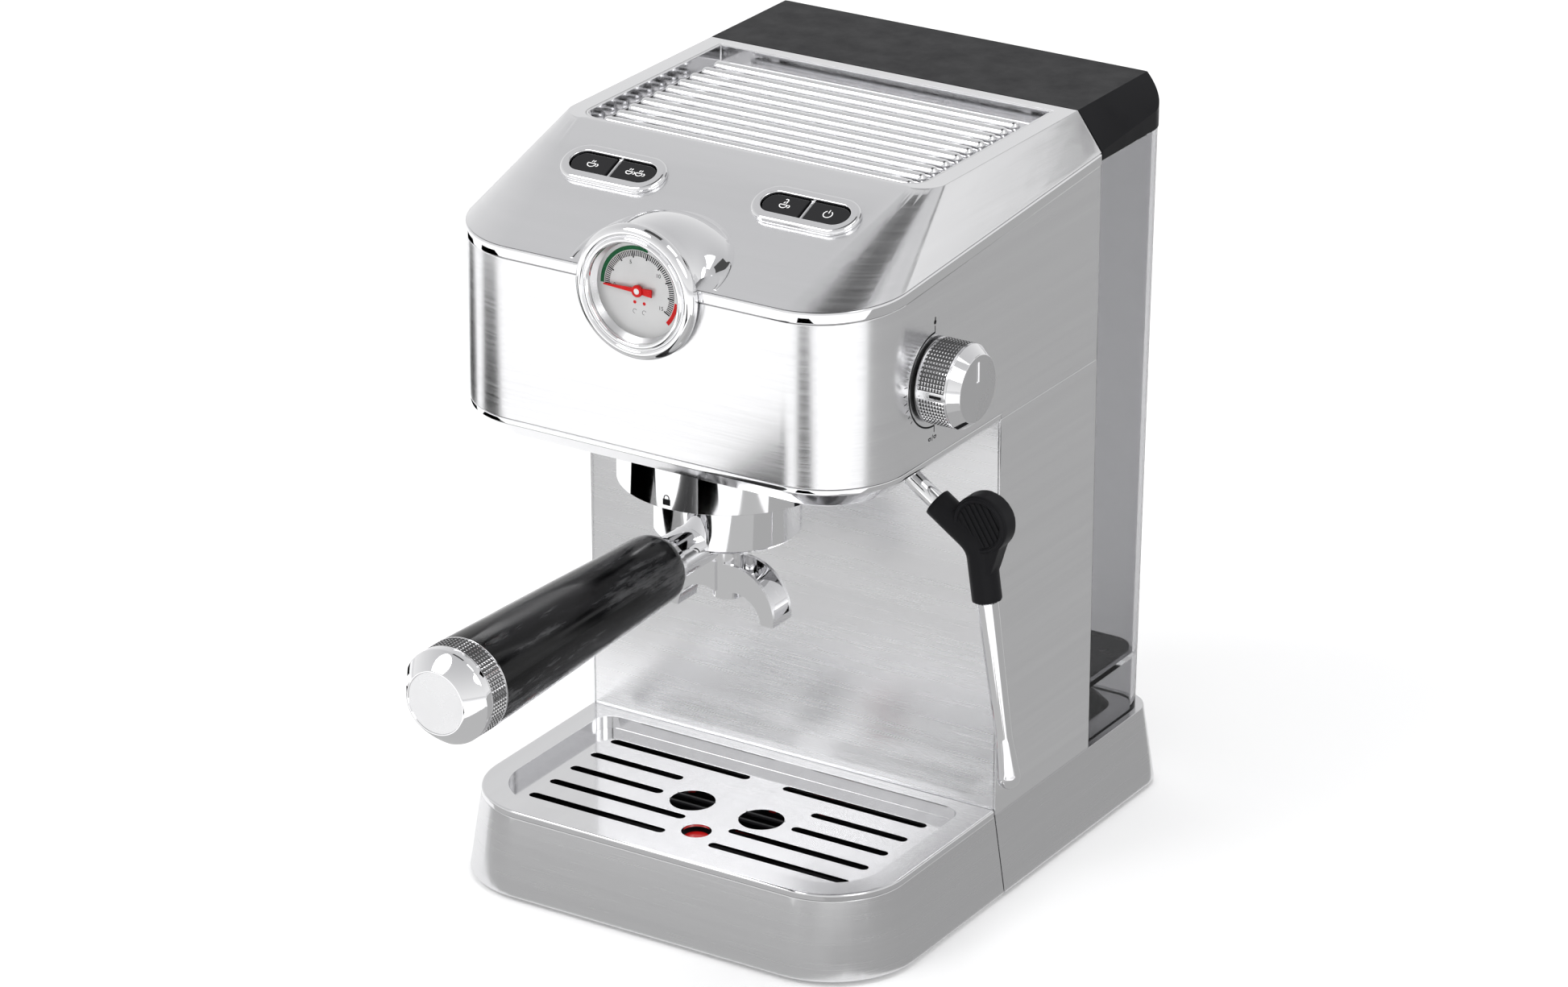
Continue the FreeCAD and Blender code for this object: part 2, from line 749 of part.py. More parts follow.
def make_button(side, hand):
    """Half a pill; hand is -1 for the left one of a pair and 1 for the right one."""
    cap = pill(button_open_len - 2 * move_gap, button_open_w - 2 * move_gap, button_low, button_top)
    cap = cap.makeFillet(0.8, [e for e in cap.Edges if e.BoundBox.ZMin > button_top - 0.1])
    edge = button_bar_w / 2 + move_gap
    keep = box(edge, button_open_len, -button_open_w, button_open_w, -10.0, 10.0)
    if hand < 0:
        keep = box(-button_open_len, -edge, -button_open_w, button_open_w, -10.0, 10.0)
    return on_slope(cap.common(keep), side)


def make_switch_board(side):
    """Small circuit board under one pair of buttons, with a key switch under each."""
    top = button_low - button_travel - 0.5
    board = box(-button_open_len / 2 - 4, button_open_len / 2 + 4, -8.0, 8.0, top - 6.6, top - 5.0)
    switches = [box(x - 3, x + 3, -3, 3, top - 5.0, top) for x in (-10.0, 10.0)]
    return on_slope(fuse([board] + switches), side)


def make_control_board():
    """Power board on the bulkhead, with its relay and its large capacitor."""
    y = tank_front_y - bulkhead_t
    board = box(12.0, 82.0, y - 5.6, y - 4.0, 90.0, 190.0)
    spacers = [rod(3.0, (x, y - 4.0, z), (x, y, z)) for x in (20.0, 74.0) for z in (98.0, 182.0)]
    relay = box(22.0, 42.0, y - 21.6, y - 5.6, 104.0, 134.0)
    capacitor = rod(6.0, (60.0, y - 25.6, 150.0), (60.0, y - 5.6, 150.0))
    return fuse([board, relay, capacitor] + spacers)


# ================================================================ steam knob and valve
knob_start_x = half_w + 1.2
valve_half = 12.0
valve_x = (half_w - 38.0, half_w - 6.0)


def make_knob_body():
    end_x = knob_start_x + knob_body_len
    body = rod(knob_r, (knob_start_x, knob_y, knob_z), (end_x, knob_y, knob_z))
    return body.cut(rod(spindle_r, (knob_start_x, knob_y, knob_z), (end_x - 2.0, knob_y, knob_z)))


def make_knob_cap():
    x = knob_start_x + knob_body_len
    cap = cone(knob_r, knob_face_r, (x, knob_y, knob_z), (x + knob_cap_len, knob_y, knob_z))
    mark = box(x + knob_cap_len - 0.6, x + knob_cap_len + 1.0, knob_y - 0.9, knob_y + 0.9,
               knob_z + knob_face_r * 0.2, knob_z + knob_face_r * 0.8)
    return cap.cut(mark)


def make_steam_valve_body():
    block = box(valve_x[0], valve_x[1], knob_y - valve_half, knob_y + valve_half,
                knob_z - valve_half, knob_z + valve_half)
    neck = rod(spindle_r + 2.5, (valve_x[1], knob_y, knob_z), (half_w - steel_t - 0.3, knob_y, knob_z))
    block = fuse([block, neck])
    return block.cut(rod(spindle_r + run_gap, (valve_x[0] + 8.0, knob_y, knob_z),
                         (half_w, knob_y, knob_z)))


def make_steam_valve_spindle():
    return rod(spindle_r, (valve_x[0] + 9.0, knob_y, knob_z),
               (knob_start_x + knob_body_len - 2.0, knob_y, knob_z))


# ================================================================ steam wand
socket_r = 8.0
socket_neck_r = 6.2
socket_top_z = head_bottom_z - 1.0
wand_top_z = socket_top_z + 1.5


def wand_point(x, z):
    return (x, wand_y, z)


def wand_axis():
    """Unit vector down the straight lower part of the wand."""
    knee = Vector(*wand_point(wand_knee_x, wand_knee_z))
    return (Vector(*wand_point(wand_tip_x, wand_tip_z)) - knee).normalize()


def along_wand(z):
    """The point of the lower part's axis at a height."""
    axis = wand_axis()
    knee = Vector(*wand_point(wand_knee_x, wand_knee_z))
    return knee + axis * ((z - knee.z) / axis.z)


def make_wand_socket():
    x, y = wand_x, wand_y
    cup = cone(socket_r, socket_r - 1.5, (x, y, pan_low_z), (x, y, pan_low_z - 2.0))
    neck = rod(socket_neck_r, (x, y, pan_low_z), (x, y, socket_top_z))
    return fuse([cup, neck]).cut(rod(wand_tube_r + run_gap, (x, y, pan_low_z - 6.0), (x, y, head_bottom_z)))


def upper_tube():
    end = along_wand(grip_end_z)
    corners = [wand_point(wand_x, wand_top_z), wand_point(wand_x, wand_elbow_z),
               wand_point(wand_knee_x, wand_knee_z), tuple(end)]
    return pipe(corners, wand_tube_r, (wand_elbow_bend, wand_knee_bend))


def make_wand_tube():
    end = along_wand(grip_end_z)
    low = along_wand(grip_end_z - 38.0)
    return fuse([upper_tube(), rod(wand_inner_r, tuple(end), tuple(low))])


def make_wand_grip():
    """Moulded grip round the wand's knee, with a ribbed thumb tab on its outer side."""
    knee = Vector(*wand_point(wand_knee_x, wand_knee_z))
    elbow = Vector(*wand_point(wand_x, wand_elbow_z))
    back = (elbow - knee).normalize()
    start = knee + back * ((wand_knee_reach - grip_start_reach) / abs(back.x))
    sleeve = pipe([tuple(start), tuple(knee), tuple(along_wand(grip_end_z))], grip_r, (wand_knee_bend + 3.0,))
    tx = wand_x + thumb_tab_reach
    tz = thumb_tab_z
    y0 = wand_y - thumb_tab_t / 2
    tab = rod(thumb_tab_r, (tx, y0, tz), (tx, y0 + thumb_tab_t, tz))
    neck = along_wand(wand_knee_z - 10.0)
    corners = [
        Vector(tx + thumb_tab_r * 0.72, y0, tz - thumb_tab_r * 0.69),
        Vector(neck.x + grip_r * 0.9, y0, neck.z),
        Vector(neck.x - 4.0, y0, neck.z),
        Vector(knee.x - 6.0, y0, knee.z + 4.0),
    ]
    web = Part.Face(Part.makePolygon(corners + corners[:1])).extrude(Vector(0, thumb_tab_t, 0))
    return fuse([sleeve, tab, web]).cut(upper_tube())


def make_froth_sleeve():
    """Tapered sleeve that pulls off the end of the wand; steam leaves through its rounded tip."""
    axis = wand_axis()
    top = along_wand(grip_end_z - 0.6)
    low = along_wand(wand_tip_z + 22.0)
    bulb = along_wand(wand_tip_z + sleeve_bulb_r)
    outer = fuse([
        cone(sleeve_top_r, sleeve_low_r, tuple(top), tuple(low)),
        cone(sleeve_low_r, sleeve_bulb_r, tuple(low), tuple(bulb)),
        Part.makeSphere(sleeve_bulb_r, bulb),
    ])
    bore = rod(wand_inner_r + 2 * run_gap, tuple(top - axis), tuple(along_wand(grip_end_z - 40.0)))
    jet = rod(0.8, tuple(top), tuple(bulb + axis * 12.0))
    return outer.cut(bore).cut(jet)


# ================================================================ brew group
gap_half_angle = lug_half_angle + 7.0
unlock_deg = 45.0
boiler_r = collar_boss_r - 6.0
boiler_top_z = pan_low_z + 47.0


def wedge(radius, z0, z1, mid_deg, half_deg):
    """Sector of a disc about the group's axis."""
    sector = Part.makeCylinder(radius, z1 - z0, Vector(0, group_y, z0), Vector(0, 0, 1), 2 * half_deg)
    sector.rotate(Vector(0, group_y, 0), Vector(0, 0, 1), mid_deg - half_deg)
    return sector


def make_group_collar():
    """Bayonet ring: two ledges carry the portafilter's lugs, and two gaps let them in."""
    r_in = lug_r + 1.2
    ledge_r = bowl_r + 3.4 + 0.5
    ledge_top = lug_low_z - move_gap
    profile = [
        (ledge_r, collar_low_z), (collar_r, collar_low_z), (collar_r, pan_low_z),
        (collar_boss_r, pan_low_z), (collar_boss_r, pan_low_z + 4.0), (roof_bore_r, pan_low_z + 4.0),
        (roof_bore_r, collar_roof_z), (r_in, collar_roof_z), (r_in, ledge_top), (ledge_r, ledge_top),
    ]
    ring = revolved_z(profile, group_y)
    for mid in (-unlock_deg, 180.0 - unlock_deg):
        ring = ring.cut(wedge(r_in, collar_low_z - 1.0, ledge_top + 1.0, mid, gap_half_angle))
    return ring


def make_group_gasket():
    ring = rod(bowl_r + 4.4, (0, group_y, gasket_low_z), (0, group_y, collar_roof_z))
    return ring.cut(rod(basket_r, (0, group_y, gasket_low_z), (0, group_y, collar_roof_z)))


def make_shower_screen():
    """Dished steel screen with its water holes, held up by one screw."""
    r = basket_r - 1.5
    z0 = screen_low_z
    dish = rod(r, (0, group_y, z0), (0, group_y, collar_roof_z))
    dish = dish.cut(rod(r - 1.0, (0, group_y, z0 + 1.0), (0, group_y, collar_roof_z)))
    holes = [rod(screen_screw_r + run_gap, (0, group_y, z0 - 1), (0, group_y, z0 + 3))]
    for ring_r, count in ((8.0, 6), (14.0, 12), (20.0, 18)):
        for i in range(count):
            turn = 2 * math.pi * i / count
            x = ring_r * math.cos(turn)
            y = group_y + ring_r * math.sin(turn)
            holes.append(rod(0.8, (x, y, z0 - 1), (x, y, z0 + 3)))
    return dish.cut(Part.makeCompound(holes))


def make_boiler():
    """Cast heating block over the group: flange, body with two heater terminals, and a domed cap."""
    z0 = pan_low_z + 4.0
    shoulder_z = boiler_top_z - 7.0
    flange_z = z0 + 6.0
    profile = [(0, z0), (boiler_r + 3.0, z0), (boiler_r + 3.0, flange_z), (boiler_r, flange_z),
               (boiler_r, shoulder_z), (boiler_r - 7.0, boiler_top_z), (0, boiler_top_z)]
    body = revolved_z(profile, group_y)
    plug = rod(roof_bore_r - 0.5, (0, group_y, collar_roof_z + 1.0), (0, group_y, z0 + 1.0))
    thread = rod(screen_screw_r, (0, group_y, collar_roof_z), (0, group_y, collar_roof_z + 6.0))
    y = group_y + boiler_r
    terminals = [rod(3.0, (x, y - 3.0, z0 + 22.0), (x, y + 9.0, z0 + 22.0)) for x in (-9.0, 9.0)]
    return fuse([body, plug] + terminals).cut(thread)


# ================================================================ portafilter
def make_portafilter_bowl():
    """Chromed bowl with its rim, two bayonet lugs and the neck that the handle screws on."""
    inner_r = basket_r + 0.7
    rim_r = bowl_r + 3.4
    seat_z = bowl_rim_z - 0.8
    groove_z = bowl_low_z + 19.0
    profile = [
        (4.0, bowl_low_z), (bowl_r - 1.5, bowl_low_z), (bowl_r, bowl_low_z + 1.5), (bowl_r, lug_low_z - 2.0),
        (rim_r, lug_low_z), (rim_r, seat_z), (inner_r, seat_z), (inner_r, groove_z + 0.9),
        (inner_r + 1.0, groove_z + 0.9), (inner_r + 1.0, groove_z - 0.9), (inner_r, groove_z - 0.9),
        (inner_r, bowl_low_z + 3.0), (4.0, bowl_low_z + 3.0),
    ]
    bowl = revolved_z(profile, group_y)
    lugs = [wedge(lug_r, lug_low_z, lug_top_z, mid, lug_half_angle) for mid in (0.0, 180.0)]
    core = rod(inner_r + 2.0, (0, group_y, bowl_low_z), (0, group_y, seat_z + 5.0))
    lugs = [lug.cut(core) for lug in lugs]
    neck_end_y = group_y - bowl_r + neck_r
    neck = rod(neck_r, (0, grip_back_y, handle_z), (0, neck_end_y, handle_z))
    collar = rod(neck_r + 2.0, (0, grip_back_y, handle_z), (0, grip_back_y + 4.0, handle_z))
    tip = Part.makeSphere(neck_r, Vector(0, neck_end_y, handle_z))
    hollow = rod(inner_r, (0, group_y, bowl_low_z + 3.0), (0, group_y, seat_z))
    stem = fuse([neck, collar, tip]).cut(hollow)
    bore = rod(4.0, (0, group_y, bowl_low_z - 12.0), (0, group_y, bowl_low_z + 4.0))
    thread = rod(bolt_r, (0, grip_back_y, handle_z), (0, grip_back_y + 14.0, handle_z))
    return fuse([bowl, stem] + lugs).cut(bore).cut(thread)


def make_filter_basket():
    inner_r = basket_r - basket_t
    z0 = bowl_low_z + 7.0
    seat_z = bowl_rim_z - 0.8
    profile = [
        (0, z0), (basket_r, z0), (basket_r, seat_z), (bowl_r + 2.6, seat_z), (bowl_r + 2.6, bowl_rim_z),
        (inner_r, bowl_rim_z), (inner_r, z0 + basket_t), (0, z0 + basket_t),
    ]
    return revolved_z(profile, group_y)


def make_basket_spring():
    return Part.makeTorus(basket_r + 0.95, 0.6, Vector(0, group_y, bowl_low_z + 19.0))


def spout_arm(side):
    """One open gutter: it curves out and down from the boss to its lip."""
    y0 = group_y - spout_arm_half
    y1 = group_y + spout_arm_half
    z_top = bowl_low_z - 14.0

    def face_at(shrink):
        a = Vector(side * 2.0, y0, z_top - shrink)
        b = Vector(side * 19.6, y0, bowl_low_z - 19.5 - shrink)
        c = Vector(side * (26.0 - shrink * 0.2), y0, bowl_low_z - 37.0)
        d = Vector(side * 20.0, y0, bowl_low_z - 37.0)
        e = Vector(side * 14.6, y0, bowl_low_z - 27.6)
        f = Vector(side * 2.0, y0, spout_boss_low_z + 3.0)
        edges = [Part.Arc(a, b, c).toShape(), Part.LineSegment(c, d).toShape(),
                 Part.Arc(d, e, f).toShape(), Part.LineSegment(f, a).toShape()]
        return Part.Face(Part.Wire(edges))

    solid = face_at(0).extrude(Vector(0, y1 - y0, 0))
    lift = spout_arm_wall * 2.0
    channel = face_at(0).extrude(Vector(0, y1 - y0 - 2 * spout_arm_wall, 0))
    channel.translate(Vector(side * lift * 0.8, spout_arm_wall, lift))
    return solid.cut(channel)


def make_spout():
    """Double spout: its boss screws into the bowl, and a gutter runs to each side."""
    boss = rod(spout_boss_r, (0, group_y, spout_boss_low_z), (0, group_y, bowl_low_z))
    threaded = rod(4.0, (0, group_y, bowl_low_z), (0, group_y, bowl_low_z + 3.0))
    block = fuse([boss, threaded, spout_arm(-1), spout_arm(1)])
    bore = rod(2.4, (0, group_y, spout_boss_low_z + 6.0), (0, group_y, bowl_low_z + 4.0))
    clear_neck = rod(neck_r + move_gap, (0, grip_back_y, handle_z), (0, group_y - bowl_r + neck_r, handle_z))
    return block.cut(bore).cut(clear_neck)


def make_handle_grip():
    grip = cone(grip_large_r, grip_small_r, (0, grip_front_y, handle_z), (0, grip_back_y, handle_z))
    ends = [e for e in grip.Edges if e.BoundBox.YMin > grip_back_y - 0.1]
    grip = grip.makeFillet(1.5, ends)
    return grip.cut(rod(bolt_r, (0, grip_front_y - 1, handle_z), (0, grip_back_y + 1, handle_z)))


def make_handle_ring():
    ring = rod(grip_large_r + 0.1, (0, grip_front_y - ring_len, handle_z), (0, grip_front_y, handle_z))
    return ring.cut(rod(bolt_r, (0, grip_front_y - ring_len, handle_z), (0, grip_front_y, handle_z)))


def make_handle_cap():
    y = grip_front_y - ring_len
    edge = cap_len * 0.35
    rim = rod(grip_large_r + 0.1, (0, y - edge, handle_z), (0, y, handle_z))
    nose = cone(grip_large_r + 0.1, cap_face_r, (0, y - edge, handle_z), (0, y - cap_len, handle_z))
    cap = fuse([rim, nose])
    return cap.cut(rod(bolt_r, (0, y - 4.0, handle_z), (0, y, handle_z)))


def make_handle_bolt():
    return rod(bolt_r, (0, grip_front_y - ring_len - 4.0, handle_z), (0, grip_back_y + 12.0, handle_z))


# ================================================================ water tank
tank_half = half_w - 0.3
tank_back_y = body_back_y - 0.2
tank_start_y = tank_front_y + 0.4
tank_top_z = lid_low_z - move_gap
hinge_y = body_back_y + hinge_knuckle_r + 0.3
hinge_z = tank_top_z - 1.0
valve_low_z = base_top_z + 8.0


def tank_block(inset, z0, z1):
    def at(z):
        taper = tank_taper * (tank_top_z - z) / (tank_top_z - base_top_z) + inset
        r_back = max(tank_back_r - inset, 1.0)
        return outline(tank_half - taper, tank_start_y + inset, tank_back_y - taper, z, 1.0, r_back)
    return loft(at(z0), at(z1))


def knuckle(x0, x1, radius):
    return rod(radius, (x0, hinge_y, hinge_z), (x1, hinge_y, hinge_z))


def make_water_tank():
    """Tank with a raised floor, the skirt that it stands on, and two hinge lugs behind."""
    tank = tank_block(0, base_top_z, tank_top_z)
    tank = tank.cut(tank_block(tank_wall, base_top_z, tank_floor_z))
    tank = tank.cut(tank_block(tank_wall, tank_floor_z + tank_wall, tank_top_z))
    lugs = []
    for side in (-1, 1):
        x0, x1 = sorted((side * (hinge_lid_half_len + 0.4), side * hinge_half_len))
        arm = box(x0, x1, tank_back_y - 1.0, hinge_y, hinge_z - hinge_knuckle_r, hinge_z)
        lugs.append(fuse([knuckle(x0, x1, hinge_knuckle_r), arm]))
    boss = rod(tank_boss_r, (0, tank_mid_y, valve_low_z + 6.0), (0, tank_mid_y, tank_floor_z + 1.0))
    tank = fuse([tank, boss] + lugs)
    bore = rod(3.5, (0, tank_mid_y, base_top_z), (0, tank_mid_y, tank_floor_z + tank_wall + 1.0))
    return tank.cut(bore).cut(knuckle(-body_width, body_width, hinge_pin_r + run_gap))


def make_tank_hinge_pin():
    return knuckle(-hinge_half_len, hinge_half_len, hinge_pin_r)


def lid_block(inset):
    half = half_w - inset
    back = body_back_y - inset
    front = tank_front_y + 0.5 + inset
    block = prism(outline(half, front, back, lid_low_z, 1.0, base_back_r - inset),
                  top_z - inset - lid_low_z)
    for side in (-1, 1):
        a = Vector(side * (top_half_w - inset), front, top_z - inset)
        b = Vector(side * half, front, lid_side_front_z - inset)
        c = Vector(side * (top_half_w - inset), back, top_z - inset)
        d = Vector(side * half, back, lid_side_back_z - inset)
        block = block.cut(corner_wedge(a, b, c, d, side))
    return block


def corner_wedge(a, b, c, d, side):
    """What lies outside the ruled chamfer between the edges a-c and b-d."""
    out = Vector(side * 30.0, 0, 0)
    up = Vector(0, 0, 30.0)
    before = (a - c).normalize() * 5.0
    def section(p, q, shift):
        along = (q - p).normalize() * 5.0
        points = [p - along, q + along, q + along + out, q + along + out + up * 2, p - along + up * 2]
        return Part.makePolygon([point + shift for point in points + points[:1]])
    return Part.makeLoft([section(a, b, before), section(c, d, -before)], True, True)


def make_tank_lid():
    lid = lid_block(0).cut(lid_block(wall_t))
    barrel = knuckle(-hinge_lid_half_len, hinge_lid_half_len, hinge_knuckle_r)
    arm = box(-hinge_lid_half_len, hinge_lid_half_len, body_back_y - 1.0, hinge_y,
              lid_low_z, lid_low_z + 3.0)
    web = box(-hinge_lid_half_len, hinge_lid_half_len, body_back_y, hinge_y + hinge_knuckle_r,
              hinge_z, lid_low_z + 3.0)
    tab = box(half_w - 6.0, half_w, tank_front_y + 2.0, tank_front_y + 18.0, lid_low_z, lid_low_z + 4.0)
    lid = fuse([lid, barrel, arm, web, tab])
    return lid.cut(knuckle(-body_width, body_width, hinge_pin_r + run_gap))


def make_tank_valve():
    """Outlet valve in the tank's boss; it plugs into the seat when the tank stands in place."""
    floor_top_z = tank_floor_z + tank_wall
    stem = rod(3.5, (0, tank_mid_y, valve_low_z + 2.0), (0, tank_mid_y, floor_top_z))
    head = rod(5.5, (0, tank_mid_y, floor_top_z), (0, tank_mid_y, floor_top_z + 6.0))
    return fuse([stem, head])


def make_tank_seat():
    """Low dome on the base, under the tank's raised floor, with the socket for its valve."""
    low = outline(half_w - 14.0, tank_start_y + 6.0, tank_back_y - 10.0, base_top_z, 10.0, 10.0)
    high = outline(half_w - 26.0, tank_start_y + 14.0, tank_back_y - 18.0, valve_low_z + 4.0, 6.0, 6.0)
    dome = loft(low, high)
    spigot = rod(tank_boss_r, (0, tank_mid_y, base_top_z - 6.0), (0, tank_mid_y, base_top_z))
    socket = rod(4.0, (0, tank_mid_y, valve_low_z), (0, tank_mid_y, tank_floor_z))
    passage = rod(2.0, (0, tank_mid_y, base_top_z - 7.0), (0, tank_mid_y, valve_low_z + 1.0))
    return fuse([dome, spigot]).cut(socket).cut(passage)


# ================================================================ pump and pipes
hose_r = 2.5
pump_low_z = base_top_z + mount_h
pump_axis_z = pump_low_z + pump_body[2] / 2


def make_pump():
    length, depth, height = pump_body
    x, y = pump_centre
    coil = box(x - length / 2, x + length / 2, y - depth / 2, y + depth / 2, pump_low_z, pump_low_z + height)
    inlet = rod(5.0, (x - length / 2 - 8.0, y, pump_axis_z), (x - length / 2, y, pump_axis_z))
    outlet = rod(7.0, (x + length / 2, y, pump_axis_z), (x + length / 2 + 16.0, y, pump_axis_z))
    return fuse([coil, inlet, outlet])


def make_pump_mounts():
    length, depth, _ = pump_body
    x, y = pump_centre
    blocks = []
    for side in (-1, 1):
        x_mid = x + side * (length / 2 - 8.0)
        blocks.append(box(x_mid - 5.0, x_mid + 5.0, y - depth / 2, y + depth / 2, base_top_z, pump_low_z))
    return group_of(blocks)


def make_hoses():
    """Suction hose under the base top, pressure pipe up to the boiler, and steam pipes to the wand."""
    length = pump_body[0]
    x, y = pump_centre
    under_z = base_top_z - 14.0
    inlet_x = x - length / 2 - 8.0 - hose_r
    outlet_x = x + length / 2 + 16.0 + hose_r
    over_z = boiler_top_z + 12.0
    pressure = pipe([(outlet_x, y, pump_axis_z), (outlet_x, y, over_z), (0.0, group_y, over_z),
                     (0.0, group_y, boiler_top_z)], hose_r, (8.0, 8.0))
    valve_mid_x = valve_x[0] + 6.0
    drop_z = wand_top_z + 9.0
    steam = pipe([(boiler_r, knob_y, knob_z - 6.0), (valve_x[0], knob_y, knob_z - 6.0)], hose_r, ())
    drop = pipe([(valve_mid_x, knob_y, knob_z - valve_half), (valve_mid_x, knob_y, drop_z),
                 (wand_x, wand_y, drop_z), (wand_x, wand_y, wand_top_z + 0.5)], hose_r, (2.8, 2.8))
    suction = pipe([(0, tank_mid_y, base_top_z - 6.0), (0, tank_mid_y, under_z), (0, y, under_z),
                    (inlet_x, y, under_z), (inlet_x, y, pump_axis_z)], hose_r, (5.0, 5.0, 5.0))
    return group_of([pressure, steam, drop, suction])


# ================================================================ export
def hose_hole():
    """Hole in the base top where the suction hose comes up to the pump."""
    x = pump_centre[0] - pump_body[0] / 2 - 8.0 - hose_r
    y = pump_centre[1]
    return rod(hose_r + 1.0, (x, y, base_top_z - 2 * wall_t), (x, y, base_top_z + 1.0))


parts = {
    "chassis_base": make_chassis_base(),
    "foot_ring": make_foot_ring(),
    "rear_base_shell": make_rear_base_shell().cut(hose_hole()),
    "screws": make_screws(),
    "cord_gland": make_cord_gland(),
    "drip_tray_shell": make_drip_tray_shell(),
    "drip_basin": make_drip_basin(),
    "drip_grate": make_drip_grate(),
    "tray_float": make_tray_float(),
    "column_front_panel": make_column_front_panel(),
    "column_side_left": make_column_side(-1),
    "column_side_right": make_column_side(1),
    "rear_bulkhead": make_rear_bulkhead(),
    "head_shell": make_head_shell(),
    "head_bottom_trim": make_head_bottom_trim(),
    "head_pan": make_head_pan(),
    "belt_trim": make_belt_trim(),
    "hood": make_hood(),
    "cup_tray": make_cup_tray(),
    "cup_rails": make_cup_rails(),
    "gauge_housing": make_gauge_housing(),
    "gauge_bezel": make_gauge_bezel(),
    "gauge_glass": make_gauge_glass(),
    "gauge_dial": make_gauge_dial(),
    "gauge_movement": make_gauge_movement(),
    "gauge_needle": make_gauge_needle(),
    "button_bezels": group_of([make_button_bezel(-1), make_button_bezel(1)]),
    "button_one_cup": make_button(-1, -1),
    "button_two_cup": make_button(-1, 1),
    "button_steam": make_button(1, -1),
    "button_power": make_button(1, 1),
    "circuit_boards": group_of([make_switch_board(-1), make_switch_board(1), make_control_board()]),
    "knob_body": make_knob_body(),
    "knob_cap": make_knob_cap(),
    "steam_valve_body": make_steam_valve_body(),
    "steam_valve_spindle": make_steam_valve_spindle(),
    "wand_socket": make_wand_socket(),
    "wand_tube": make_wand_tube(),
    "wand_grip": make_wand_grip(),
    "froth_sleeve": make_froth_sleeve(),
    "group_collar": make_group_collar(),
    "group_gasket": make_group_gasket(),
    "shower_screen": make_shower_screen(),
    "boiler": make_boiler(),
    "portafilter_bowl": make_portafilter_bowl(),
    "filter_basket": make_filter_basket(),
    "basket_spring": make_basket_spring(),
    "spout": make_spout(),
    "handle_grip": make_handle_grip(),
    "handle_ring": make_handle_ring(),
    "handle_cap": make_handle_cap(),
    "handle_bolt": make_handle_bolt(),
    "water_tank": make_water_tank(),
    "tank_lid": make_tank_lid(),
    "tank_hinge_pin": make_tank_hinge_pin(),
    "tank_valve": make_tank_valve(),
    "tank_seat": make_tank_seat(),
    "pump": make_pump(),
    "pump_mounts": make_pump_mounts(),
    "hoses": make_hoses(),
}

for name, shape in parts.items():
    shape.exportStep(f"parts/{name}.step")
    volume = shape.Volume / 1000
    print(f"{name:22s} solids {len(shape.Solids)}  valid {shape.isValid()}  volume {volume:8.2f} cm3")
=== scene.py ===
"""Visible finish of an espresso machine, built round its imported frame.

The frame is in metres, with +Z up, -Y the front and +X the user's right. Sizes below are in
millimetres and are scaled by mm() or MM, unless a note says otherwise.
"""
import json
from math import cos, pi, radians, sin

import bmesh
import bpy
from bpy.props import FloatProperty, FloatVectorProperty, IntProperty, PointerProperty
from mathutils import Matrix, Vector

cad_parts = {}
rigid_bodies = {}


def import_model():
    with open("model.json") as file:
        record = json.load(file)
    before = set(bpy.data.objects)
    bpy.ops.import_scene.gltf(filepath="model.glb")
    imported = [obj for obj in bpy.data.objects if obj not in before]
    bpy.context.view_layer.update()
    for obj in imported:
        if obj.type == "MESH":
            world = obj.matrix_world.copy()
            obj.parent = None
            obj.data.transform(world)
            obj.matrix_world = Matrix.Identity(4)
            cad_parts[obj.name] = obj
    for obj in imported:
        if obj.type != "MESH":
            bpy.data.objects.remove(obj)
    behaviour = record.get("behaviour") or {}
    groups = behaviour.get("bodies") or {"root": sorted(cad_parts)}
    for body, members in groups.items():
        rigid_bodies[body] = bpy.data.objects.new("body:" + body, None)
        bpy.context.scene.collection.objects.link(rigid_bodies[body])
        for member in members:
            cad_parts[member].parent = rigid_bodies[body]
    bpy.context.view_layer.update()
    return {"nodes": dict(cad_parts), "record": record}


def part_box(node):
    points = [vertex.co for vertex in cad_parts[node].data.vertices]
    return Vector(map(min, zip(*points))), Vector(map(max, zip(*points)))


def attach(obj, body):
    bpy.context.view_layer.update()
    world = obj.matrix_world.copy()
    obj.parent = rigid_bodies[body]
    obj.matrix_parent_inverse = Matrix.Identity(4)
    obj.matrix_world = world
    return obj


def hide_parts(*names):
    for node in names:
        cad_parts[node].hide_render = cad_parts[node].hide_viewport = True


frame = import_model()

bl_info = {
    "name": "Espresso machine finish",
    "version": (1, 0, 0),
    "blender": (4, 5, 0),
    "location": "View3D > Sidebar > Espresso",
    "description": "Finishes every visible piece of an espresso machine round its frame",
    "category": "Object",
}

MM = 0.001
WHOLE_TURN = 2 * pi
HAIR = 0.00001
QUARTER = radians(90)


def mm(*values):
    """A vector in metres from millimetres."""
    return Vector([value * MM for value in values])


# ---------------------------------------------------------------- places read from the frame
def middle(node):
    """The centre of a frame node's box."""
    low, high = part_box(node)
    return (low + high) / 2


GAUGE = middle("gauge_bezel")
BEZEL_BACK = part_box("gauge_bezel")[1].y
DIAL_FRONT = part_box("gauge_dial")[0].y
DRUM_LOW, DRUM_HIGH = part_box("knob_body")
KNOB = middle("knob_body")
GRIP_LOW, GRIP_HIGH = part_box("handle_grip")
HANDLE = middle("handle_grip")
COLLAR_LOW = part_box("group_collar")[0]
SHELL_LOW, SHELL_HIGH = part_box("head_shell")
# The hood's front slope: its lean, and its lower edge in metres.
SLOPE = radians(22.07)
SLOPE_FRONT = Vector((0, SHELL_LOW.y, 0.2892))


# ---------------------------------------------------------------- sizes and colours
EDGE_ROUND = 0.5 * MM


